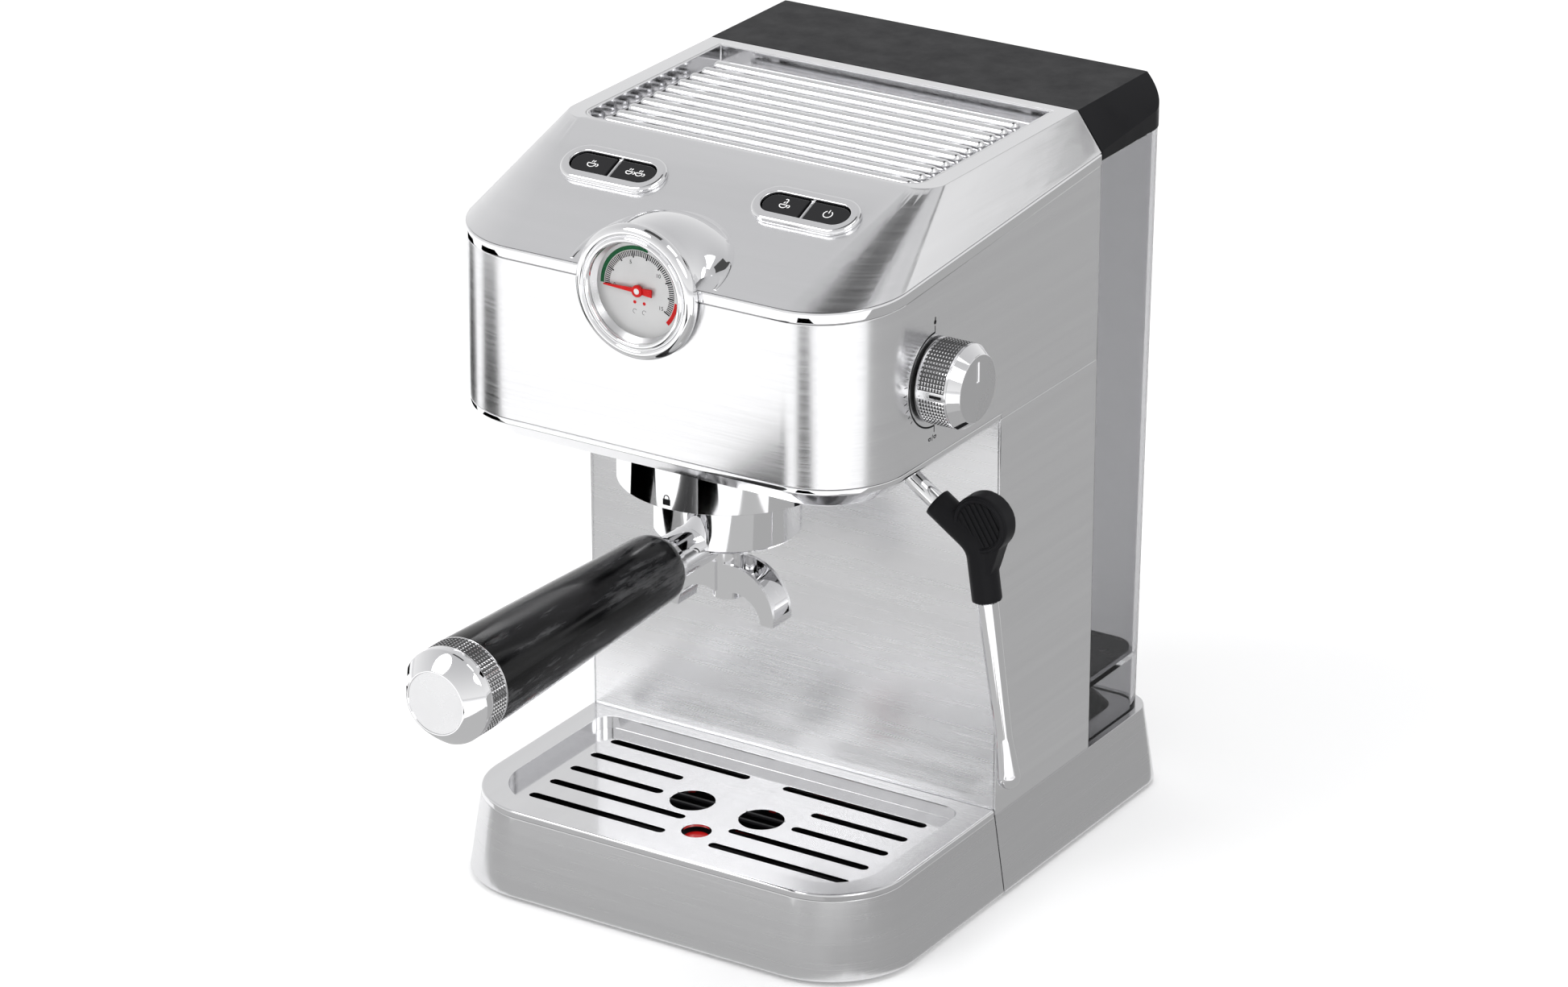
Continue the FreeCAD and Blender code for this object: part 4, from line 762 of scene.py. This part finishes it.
class ESPRESSO_OT_gauge_shroud(EspressoOperator, bpy.types.Operator):
    """Chromed shroud that flares from behind the gauge onto the hood's slope"""
    bl_idname = "espresso.gauge_shroud"
    bl_label = "Gauge shroud"

    rings = 14
    radius = 25.0
    flare = 1.33
    barrel = 5.0
    open_below = 3.5
    reach_up_slope = 6.0
    lip = 1.035
    wall = 0.8

    def execute(self, context):
        start = Vector((0, BEZEL_BACK, GAUGE.z))
        alone()
        bpy.ops.mesh.primitive_circle_add(vertices=112, radius=self.radius * MM, location=start,
                                          rotation=FACING_FRONT)
        piece = fresh("gauge_shroud")
        edit(piece)
        choose(piece, lambda v: v.co.z < start.z - self.open_below * MM, "VERT")
        bpy.ops.mesh.delete(type="VERT")
        bpy.ops.mesh.select_all(action="SELECT")
        bpy.ops.mesh.extrude_region_move(TRANSFORM_OT_translate={"value": mm(0, self.barrel, 0)})
        here = start + mm(0, self.barrel, 0)
        run = (on_slope(0, self.reach_up_slope, 0.2) - here) / self.rings
        lean = (QUARTER - SLOPE) / self.rings
        size = 1.0
        for i in range(1, self.rings + 1):
            grown = 1 + (self.flare - 1) * (i / self.rings) ** 2.2
            bpy.ops.mesh.extrude_region_move(TRANSFORM_OT_translate={"value": run})
            here = here + run
            bpy.ops.transform.resize(value=(grown / size,) * 3, center_override=here)
            bpy.ops.transform.rotate(value=lean, orient_axis="X", center_override=here)
            size = grown
        bpy.ops.mesh.extrude_region_move(TRANSFORM_OT_translate={"value": mm(0, 0, 0)})
        bpy.ops.transform.resize(value=(self.lip,) * 3, center_override=here)
        sink = on_slope(0, 0, -1.2) - on_slope(0, 0, 0)
        bpy.ops.mesh.extrude_region_move(TRANSFORM_OT_translate={"value": sink})
        bpy.ops.mesh.select_all(action="SELECT")
        bpy.ops.mesh.normals_make_consistent(inside=False)
        alone(piece)
        top = max(piece.data.polygons, key=lambda face: face.center.z)
        if top.normal.z < 0:
            piece.data.flip_normals()
        apply_modifier(piece, "SOLIDIFY", thickness=self.wall * MM, offset=-1.0)
        apply_modifier(piece, "BEVEL", width=0.3 * MM, segments=2, limit_method="ANGLE",
                       angle_limit=radians(50))
        smooth(piece, 40)
        settle(piece, "machine", "chrome", ("gauge_housing",))
        return {"FINISHED"}


class ESPRESSO_OT_gauge_bezel(EspressoOperator, bpy.types.Operator):
    """Turned bezel with two ridges, and the bright ring between the glass and the dial"""
    bl_idname = "espresso.gauge_bezel"
    bl_label = "Gauge bezel"

    # Profiles as (radius, distance in front of the bezel's back).
    ridges = (
        (22.5, 0), (27.3, 0), (27.8, 0.3), (28.0, 0.9), (28.0, 1.6), (27.85, 2.6), (27.4, 3.5),
        (26.7, 4.3), (25.8, 4.9), (24.9, 5.1), (24.2, 4.9), (23.75, 4.5), (23.5, 4.1), (23.25, 4.1),
        (23.1, 4.5),
        (22.8, 5.0), (22.3, 5.3), (21.7, 5.4), (21.2, 5.2), (20.9, 4.8), (20.75, 4.3), (20.6, 3.7),
        (22.5, 3.7),
    )
    ring = ((22.2, 2.0), (22.3, 1.8), (20.0, -0.42), (19.7, -0.42), (19.7, -0.1), (21.6, 2.0))

    def execute(self, context):
        back = Vector((0, BEZEL_BACK, GAUGE.z))
        bezel = turned("gauge_bezel_ring", [(r, -w) for r, w in self.ridges], back, "Y", 128)
        smooth(bezel, 45)
        settle(bezel, "machine", "chrome", ("gauge_bezel",))
        ring = turned("gauge_inner_ring", [(r, -w) for r, w in self.ring], back, "Y", 96)
        smooth(ring, 30)
        settle(ring, "machine", "satin_chrome")
        return {"FINISHED"}


class ESPRESSO_OT_dial_print(EspressoOperator, bpy.types.Operator):
    """Ticks, coloured arcs, numbers and two dots on the pressure dial"""
    bl_idname = "espresso.dial_print"
    bl_label = "Dial print"

    first_angle = 180
    sweep = -210
    full_scale = 15
    tick_outer = 16.1
    arc_radius = 17.4
    arc_width = 1.7
    number_radius = 11.6
    number_size = 2.3
    spots_x = (-2.2, 2.2)

    def angle(self, part):
        """The angle in degrees at that part of the scale."""
        return self.first_angle + self.sweep * part

    def execute(self, context):
        face = Vector((0, DIAL_FRONT, GAUGE.z))
        count = sizes().dial_ticks
        ticks = []
        for i in range(count + 1):
            turn = radians(self.angle(i / count))
            inner, width = (13.9, 0.42) if i % 8 else (13.2, 0.6)
            ticks.append((inner * cos(turn), inner * sin(turn), self.tick_outer * cos(turn),
                          self.tick_outer * sin(turn), width))
        edge = [(0, 0, 16.15, 0.14, self.first_angle, self.sweep)]
        self.mark("dial_ticks", edge, ticks, face, "black_paint")
        green = [(0, 0, self.arc_radius, self.arc_width, self.first_angle, -104)]
        self.mark("dial_green_arc", green, [], face, "green_paint")
        red = [(0, 0, self.arc_radius, self.arc_width, -8, -34)]
        self.mark("dial_red_arc", red, [], face, "red_paint")
        dots = [(x, -5.4, 0.36, 0.7, 0, 360) for x in self.spots_x]
        self.mark("dial_dots", dots, [], face, "red_paint")
        small = [(x, -9.2, 0.9, 0.16, 30, 240) for x in self.spots_x]
        self.mark("dial_curls", small, [], face, "black_paint")
        numbers = [self.number(value) for value in (0, 5, 10, 15)]
        label = joined(numbers, "dial_numbers")
        label.rotation_euler = FACING_FRONT
        label.location = face
        settle(label, "machine", "dial_face", material="black_paint")
        return {"FINISHED"}

    def mark(self, name, arcs, bars, face, material):
        """One printed mark on the dial's face."""
        piece = printed(name, arcs, bars, face, FACING_FRONT)
        settle(piece, "machine", "dial_face", material=material)

    def number(self, value):
        """A number in its place on the scale, lying flat."""
        turn = radians(self.angle(value / self.full_scale))
        alone()
        bpy.ops.object.text_add(location=(0, 0, 0))
        text = bpy.context.object
        text.data.body = str(value)
        text.data.size = self.number_size * MM
        text.data.align_x = "CENTER"
        text.data.align_y = "CENTER"
        text.data.extrude = sizes().print_height / 2
        bpy.ops.object.convert(target="MESH")
        text = bpy.context.object
        text.location = mm(self.number_radius * cos(turn), self.number_radius * sin(turn), 0)
        bpy.ops.object.transform_apply(location=True, rotation=True, scale=True)
        return text


class ESPRESSO_OT_needle_hub(EspressoOperator, bpy.types.Operator):
    """Domed cap on the needle's hub: a red collar with a white centre"""
    bl_idname = "espresso.needle_hub"
    bl_label = "Needle hub"

    # Profiles as (radius, distance behind the needle's front).
    collar = ((1.25, 0.15), (1.3, -0.12), (1.8, -0.2), (2.3, -0.08), (2.45, 0.25), (2.45, 0.9),
              (1.25, 0.9))
    centre = ((0, -0.3), (0.6, -0.26), (1.05, -0.15), (1.25, 0.0), (1.25, 0.4), (0, 0.4))

    def execute(self, context):
        front = Vector((0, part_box("gauge_needle")[0].y, GAUGE.z))
        collar = turned("needle_hub_collar", self.collar, front, "Y", 48)
        smooth(collar, 40)
        settle(collar, "needle", "red_paint")
        centre = turned("needle_hub_centre", self.centre, front, "Y", 32)
        smooth(centre, 40)
        settle(centre, "needle", "red_paint", material="white_paint")
        return {"FINISHED"}


class ESPRESSO_OT_button_caps(EspressoOperator, bpy.types.Operator):
    """The button frames and the four half-pill buttons, with rounded edges"""
    bl_idname = "espresso.button_caps"
    bl_label = "Buttons"

    def execute(self, context):
        softened("button_bezels", "button_frames", "machine", "chrome", 0.5 * MM, segments=3)
        for name in ("one_cup", "two_cup", "steam", "power"):
            node = "button_" + name
            softened(node, node + "_cap", node, "gloss_black", 0.35 * MM, segments=3)
        return {"FINISHED"}


class ESPRESSO_OT_button_icons(EspressoOperator, bpy.types.Operator):
    """White outline marks on the buttons: one cup, two cups, steam and power"""
    bl_idname = "espresso.button_icons"
    bl_label = "Button icons"

    pair_x = 45.3
    half_pitch = 10.2
    up_slope = 53.9
    cap_height = 1.4
    stand = 0.02
    line = 0.42

    def cup(self, x, r):
        """Arcs and bars of a cup seen from the front, with a handle."""
        arcs = [(x, 0, r, self.line, 180, 180),
                (x + r + 0.55, -0.3 * r, 0.65, self.line, -100, 200)]
        bars = [(x - r, 0.15, x + r, 0.15, self.line), (x - 0.5, 0.9, x - 0.1, 1.9, self.line),
                (x + 0.5, 0.9, x + 0.9, 1.9, self.line)]
        return arcs, bars

    def execute(self, context):
        arcs, bars = self.cup(0, 1.9)
        self.place("one_cup", arcs, bars, -self.pair_x - self.half_pitch)
        left, right = self.cup(-2.4, 1.5), self.cup(2.2, 1.5)
        self.place("two_cup", left[0] + right[0], left[1] + right[1],
                   -self.pair_x + self.half_pitch)
        arcs, bars = self.cup(0, 1.7)
        self.place("steam", arcs + [(0, 2.6, 0.8, self.line, -60, 200)], bars,
                   self.pair_x - self.half_pitch)
        self.place("power", [(0, 0, 1.9, self.line, 122, 296)], [(0, 0.6, 0, 2.5, self.line)],
                   self.pair_x + self.half_pitch)
        return {"FINISHED"}

    def place(self, name, arcs, bars, x):
        """Prints the mark on the middle of its button."""
        mark = printed("icon_" + name, arcs, bars, on_slope(x, self.up_slope, self.cap_height),
                       (SLOPE, 0, 0), self.stand * MM)
        settle(mark, "button_" + name, "gloss_black", material="white_paint")


class ESPRESSO_OT_knob(EspressoOperator, bpy.types.Operator):
    """Knurled drum of the steam knob, its dash, and its chamfered cap"""
    bl_idname = "espresso.knob"
    bl_label = "Steam knob"

    radius = 17.4
    plain_strip = 1.7

    def beside_dash(self, spot):
        """Whether the spot is on the smooth strip that holds the dash."""
        return spot.y < KNOB.y and abs(spot.z - KNOB.z) < self.plain_strip * MM

    def execute(self, context):
        drum = knurled_drum("knob_drum", "X", DRUM_LOW.x, DRUM_HIGH.x, KNOB, self.radius * MM, 9,
                            sizes().knurl_columns, sizes().knurl_depth, 1.0 * MM,
                            self.beside_dash)
        settle(drum, "steam_knob", "knurled_steel", ("knob_body",))
        front = KNOB.y - self.radius * MM
        dash = block("knob_dash", Vector((KNOB.x - 0.5 * MM, front + 0.1 * MM, KNOB.z - 0.55 * MM)),
                     Vector((KNOB.x + 4.6 * MM, front + 0.8 * MM, KNOB.z + 0.55 * MM)))
        round_edges(dash, 0.15 * MM)
        settle(dash, "steam_knob", "knurled_steel", material="black_paint")
        cap = copy_of("knob_cap", "knob_cap_finish")
        two_finishes(cap, lambda face: face.normal.x > 0.9, "chrome", "satin_chrome")
        round_edges(cap, 0.5 * MM, 3)
        settle(cap, "steam_knob", "satin_chrome", ("knob_cap",))
        return {"FINISHED"}


class ESPRESSO_OT_panel_print(EspressoOperator, bpy.types.Operator):
    """Black arc, fading ticks and small marks printed round the steam knob"""
    bl_idname = "espresso.panel_print"
    bl_label = "Panel print"

    def execute(self, context):
        face = Vector((SHELL_HIGH.x, KNOB.y, KNOB.z))
        ends = [(0, 19.4, 0, 22.4, 0.4), (0, -22.4, 0, -19.4, 0.4)]
        self.mark("knob_arc", [(0, 0, 19.6, 0.75, 90, 180)], self.fading_ticks() + ends, face)
        self.mark("drop_icon", [(0, 23.9, 0.45, 0.9, 0, 360)], [(0, 24.2, 0.25, 26.0, 0.7)], face)
        cups = [(-3.4, -24.2, 0.9, 0.4, 180, 180), (0.6, -24.2, 0.9, 0.4, 180, 180)]
        lines = [(-4.3, -24.1, -2.5, -24.1, 0.4), (-0.3, -24.1, 1.5, -24.1, 0.4),
                 (-1.6, -25.6, -1.0, -23.2, 0.3)]
        self.mark("steam_icon", cups, lines, face)
        return {"FINISHED"}

    def fading_ticks(self):
        """Ticks outside the arc, longest at the sixth."""
        count, inner, shortest, growth = 10, 20.8, 21.6, 0.35
        ticks = []
        for i in range(count):
            angle = radians(135 + 9 * i)
            outer = shortest + growth * (i if i < 6 else count - i)
            ticks.append((inner * cos(angle), inner * sin(angle), outer * cos(angle),
                          outer * sin(angle), 0.3))
        return ticks

    def mark(self, name, arcs, bars, face):
        """One printed mark on the side of the head."""
        piece = printed(name, arcs, bars, face, FACING_RIGHT)
        settle(piece, "machine", "brushed_steel", material="black_paint")


class ESPRESSO_OT_lock_icon(EspressoOperator, bpy.types.Operator):
    """Small black padlock printed on the front of the group collar"""
    bl_idname = "espresso.lock_icon"
    bl_label = "Lock mark"

    def execute(self, context):
        face = Vector((0, COLLAR_LOW.y, COLLAR_LOW.z + 3.4 * MM))
        mark = printed("lock_icon", [(0, 1.4, 1.15, 0.42, 0, 180)],
                       [(-1.15, 0.9, -1.15, 1.5, 0.42), (1.15, 0.9, 1.15, 1.5, 0.42),
                        (-1.75, -0.4, 1.75, -0.4, 2.6)], face, FACING_FRONT)
        settle(mark, "machine", "chrome", material="black_paint")
        return {"FINISHED"}


class ESPRESSO_OT_brew_group(EspressoOperator, bpy.types.Operator):
    """Collar, bowl, basket and double spout, with rounded edges"""
    bl_idname = "espresso.brew_group"
    bl_label = "Brew group"

    # Node, body, slot, width of the edges' round, steps in the round.
    parts = (
        ("group_collar", "machine", "chrome", 0.6, 3),
        ("portafilter_bowl", "portafilter", "chrome", 0.5, 3),
        ("spout", "portafilter", "chrome", 0.35, 2),
        ("filter_basket", "portafilter", "polished_steel", 0.2, 2),
        ("wand_socket", "machine", "chrome", 0.4, 2),
    )

    def execute(self, context):
        for node, body, slot, width, segments in self.parts:
            softened(node, node + "_finish", body, slot, width * MM, segments=segments)
        return {"FINISHED"}


class ESPRESSO_OT_handle(EspressoOperator, bpy.types.Operator):
    """Marbled handle with its knurled ring and chamfered end cap"""
    bl_idname = "espresso.handle"
    bl_label = "Handle"

    # Profiles as (radius, distance behind the front face), and (radius, distance before the end).
    bore = 3.05
    taper = ((bore, 0), (19.0, 0), (19.35, 0.3), (19.4, 0.8), (18.6, 25), (17.75, 50),
             (16.85, 75), (15.9, 100))
    tail = ((15.0, 9), (14.8, 5), (14.4, 2.6), (13.6, 1.0), (12.4, 0.2), (11.2, 0), (bore, 0))
    cap = ((0, 0.35), (12.5, 0.35), (12.75, 0), (13.1, 0), (13.5, 0.2), (19.1, 6.5), (19.4, 7.0),
           (19.5, 7.5), (19.5, 10.2), (19.2, 10.45), (0, 10.45))
    satin_radius = 12.6
    ring_radius = 19.5

    def in_centre(self, face):
        """Whether the face is on the cap's satin centre."""
        reach = Vector((face.center.x, face.center.z - HANDLE.z)).length
        return face.normal.y < -0.95 and reach < self.satin_radius * MM

    def execute(self, context):
        front = Vector((0, GRIP_LOW.y, HANDLE.z))
        length = (GRIP_HIGH.y - GRIP_LOW.y) / MM
        profile = [*self.taper, *((r, length - back) for r, back in self.tail)]
        grip = turned("handle_grip_finish", profile, front, "Y", 112)
        smooth(grip, 40)
        settle(grip, "portafilter", "marbled_resin", ("handle_grip",))
        ring_low, ring_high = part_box("handle_ring")
        ring = knurled_drum("handle_ring_finish", "Y", ring_low.y, ring_high.y,
                            middle("handle_ring"), self.ring_radius * MM, 6, 72, 0.4 * MM,
                            0.5 * MM, lambda spot: False)
        settle(ring, "portafilter", "knurled_steel", ("handle_ring",))
        cap_front = Vector((0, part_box("handle_cap")[0].y, HANDLE.z))
        cap = turned("handle_cap_finish", self.cap, cap_front, "Y", 112)
        two_finishes(cap, self.in_centre, "chrome", "satin_chrome")
        smooth(cap, 25)
        settle(cap, "portafilter", "satin_chrome", ("handle_cap",))
        return {"FINISHED"}


class ESPRESSO_OT_wand(EspressoOperator, bpy.types.Operator):
    """Steam wand: moulded grip with a ribbed thumb rest, bent tube and the froth sleeve"""
    bl_idname = "espresso.wand"
    bl_label = "Steam wand"

    # Middle of the thumb rest along X and Z, its depth behind the grip's front, and the rim's
    # profile as (radius, distance behind the face).
    rest_x, rest_z = 114.2, 184.7
    rest_depth = 1.7
    rim = ((9.6, 0.6), (9.7, -0.5), (10.2, -0.95), (10.9, -0.95), (11.5, -0.4), (11.7, 0.6))
    rib_reach = 9.3
    rib_pitch = 2.5
    rib_half = 0.6
    rib_lean = -32

    def execute(self, context):
        grip = copy_of("wand_grip", "wand_grip_finish")
        apply_modifier(grip, "REMESH", mode="VOXEL", voxel_size=0.55 * MM)
        apply_modifier(grip, "SMOOTH", factor=0.5, iterations=10)
        rest = self.thumb_rest()
        smooth(grip, 60)
        settle(grip, "steam_wand", "black_plastic", ("wand_grip",))
        settle(rest, "steam_wand", "black_plastic")
        for node, body in (("wand_tube", "steam_wand"), ("froth_sleeve", "froth_sleeve")):
            piece = copy_of(node, node + "_finish")
            smooth(piece, 40)
            settle(piece, body, "chrome", (node,))
        return {"FINISHED"}

    def thumb_rest(self):
        """Raised rim of the thumb rest and the slanting ribs inside it."""
        centre = mm(self.rest_x, self.rest_depth, self.rest_z)
        centre.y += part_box("wand_grip")[0].y
        pieces = [turned("thumb_rim", self.rim, centre, "Y", 72)]
        for i in range(-3, 4):
            offset = i * self.rib_pitch
            half = (self.rib_reach ** 2 - offset ** 2) ** 0.5
            rib = block("thumb_rib", mm(offset - self.rib_half, -0.55, -half),
                        mm(offset + self.rib_half, 0.6, half))
            rib.rotation_euler.y = radians(self.rib_lean)
            rib.location = centre
            bpy.ops.object.transform_apply(location=True, rotation=True, scale=True)
            round_edges(rib, 0.35 * MM)
            pieces.append(rib)
        piece = joined(pieces, "thumb_rest")
        smooth(piece, 40)
        return piece


class ESPRESSO_OT_tank_fittings(EspressoOperator, bpy.types.Operator):
    """Dark floor of the water tank, and the dark seams down its front corners"""
    bl_idname = "espresso.tank_fittings"
    bl_label = "Tank fittings"

    # The back wall's place, the gap inside the walls, the floor's height and the posts' middle.
    back_y = 121.3
    inset = 6.4
    floor_z = 62.7
    floor_thick = 1.6
    corner_round = 10
    post_z = 180
    half_post = (0.9, 0.9, 112)

    def execute(self, context):
        low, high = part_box("water_tank")
        inset = self.inset * MM
        floor = self.floor_z * MM
        back = self.back_y * MM - inset
        plate = block("tank_floor_plate", Vector((low.x + inset, low.y + inset, floor)),
                      Vector((high.x - inset, back, floor + self.floor_thick * MM)))

        def back_corner(edge):
            first, second = (corner.co for corner in edge.verts)
            return first.y > back - MM and abs(first.z - second.z) > MM

        edit(plate)
        choose(plate, back_corner, "EDGE")
        bpy.ops.mesh.bevel(offset=self.corner_round * MM, segments=10)
        round_edges(plate, 0.4 * MM)
        settle(plate, "tank", "smoked_plastic", material="smoke_edge")
        posts = []
        for side in (low.x + inset, high.x - inset):
            centre = Vector((side, low.y + inset + 1.2 * MM, self.post_z * MM))
            posts.append(block("tank_post", centre - mm(*self.half_post),
                               centre + mm(*self.half_post)))
        pair = joined(posts, "tank_posts")
        round_edges(pair, 0.5 * MM)
        settle(pair, "tank", "smoked_plastic", material="smoke_edge")
        return {"FINISHED"}


class ESPRESSO_OT_drain_bars(EspressoOperator, bpy.types.Operator):
    """The drip grate with rounded edges, and the bar across each of its drain holes"""
    bl_idname = "espresso.drain_bars"
    bl_label = "Drip grate"

    # Middles of the drain holes, and half of a bar's length, width and height.
    holes_x = (-17, 17)
    holes_y = -64.6
    bar_shifts = (-3.2, 3.2)
    half_bar = (9.8, 0.7, 0.6)

    def execute(self, context):
        softened("drip_grate", "drip_grate_finish", "grate", "polished_steel", 0.35 * MM)
        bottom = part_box("drip_grate")[0].z
        bars = []
        for hole_x in self.holes_x:
            for shift in self.bar_shifts:
                centre = mm(hole_x, self.holes_y + shift, self.half_bar[2])
                centre.z += bottom
                bars.append(block("drain_bar", centre - mm(*self.half_bar),
                                  centre + mm(*self.half_bar)))
        piece = joined(bars, "drain_bars")
        round_edges(piece, 0.3 * MM)
        settle(piece, "grate", "polished_steel", material="black_plastic")
        return {"FINISHED"}


OPERATORS = (
    ESPRESSO_OT_stage, ESPRESSO_OT_finishes, ESPRESSO_OT_shells, ESPRESSO_OT_gauge_shroud,
    ESPRESSO_OT_gauge_bezel, ESPRESSO_OT_dial_print, ESPRESSO_OT_needle_hub,
    ESPRESSO_OT_button_caps, ESPRESSO_OT_button_icons, ESPRESSO_OT_knob, ESPRESSO_OT_panel_print,
    ESPRESSO_OT_lock_icon, ESPRESSO_OT_brew_group, ESPRESSO_OT_handle, ESPRESSO_OT_wand,
    ESPRESSO_OT_tank_fittings, ESPRESSO_OT_drain_bars,
)


class ESPRESSO_PT_panel(bpy.types.Panel):
    """Lists the sizes, the colours and the pieces"""
    bl_idname = "ESPRESSO_PT_panel"
    bl_label = "Espresso machine"
    bl_space_type = "VIEW_3D"
    bl_region_type = "UI"
    bl_category = "Espresso"

    def draw(self, context):
        for group in (context.scene.espresso_sizes, context.scene.espresso_colours):
            for key in group.bl_rna.properties.keys():
                if key not in ("rna_type", "name"):
                    self.layout.prop(group, key)
        for operator in OPERATORS:
            self.layout.operator(operator.bl_idname)


CLASSES = (EspressoSizes, EspressoColours, *OPERATORS, ESPRESSO_PT_panel)


def register():
    """Adds the classes, and the sizes and colours to the scene."""
    for made in CLASSES:
        bpy.utils.register_class(made)
    bpy.types.Scene.espresso_sizes = PointerProperty(type=EspressoSizes)
    bpy.types.Scene.espresso_colours = PointerProperty(type=EspressoColours)


def unregister():
    """Takes away what register() adds."""
    del bpy.types.Scene.espresso_colours
    del bpy.types.Scene.espresso_sizes
    for made in reversed(CLASSES):
        bpy.utils.unregister_class(made)


def main():
    """Builds every piece in order."""
    register()
    for operator in OPERATORS:
        group, name = operator.bl_idname.split(".")
        getattr(getattr(bpy.ops, group), name)()


if __name__ == "__main__":
    main()
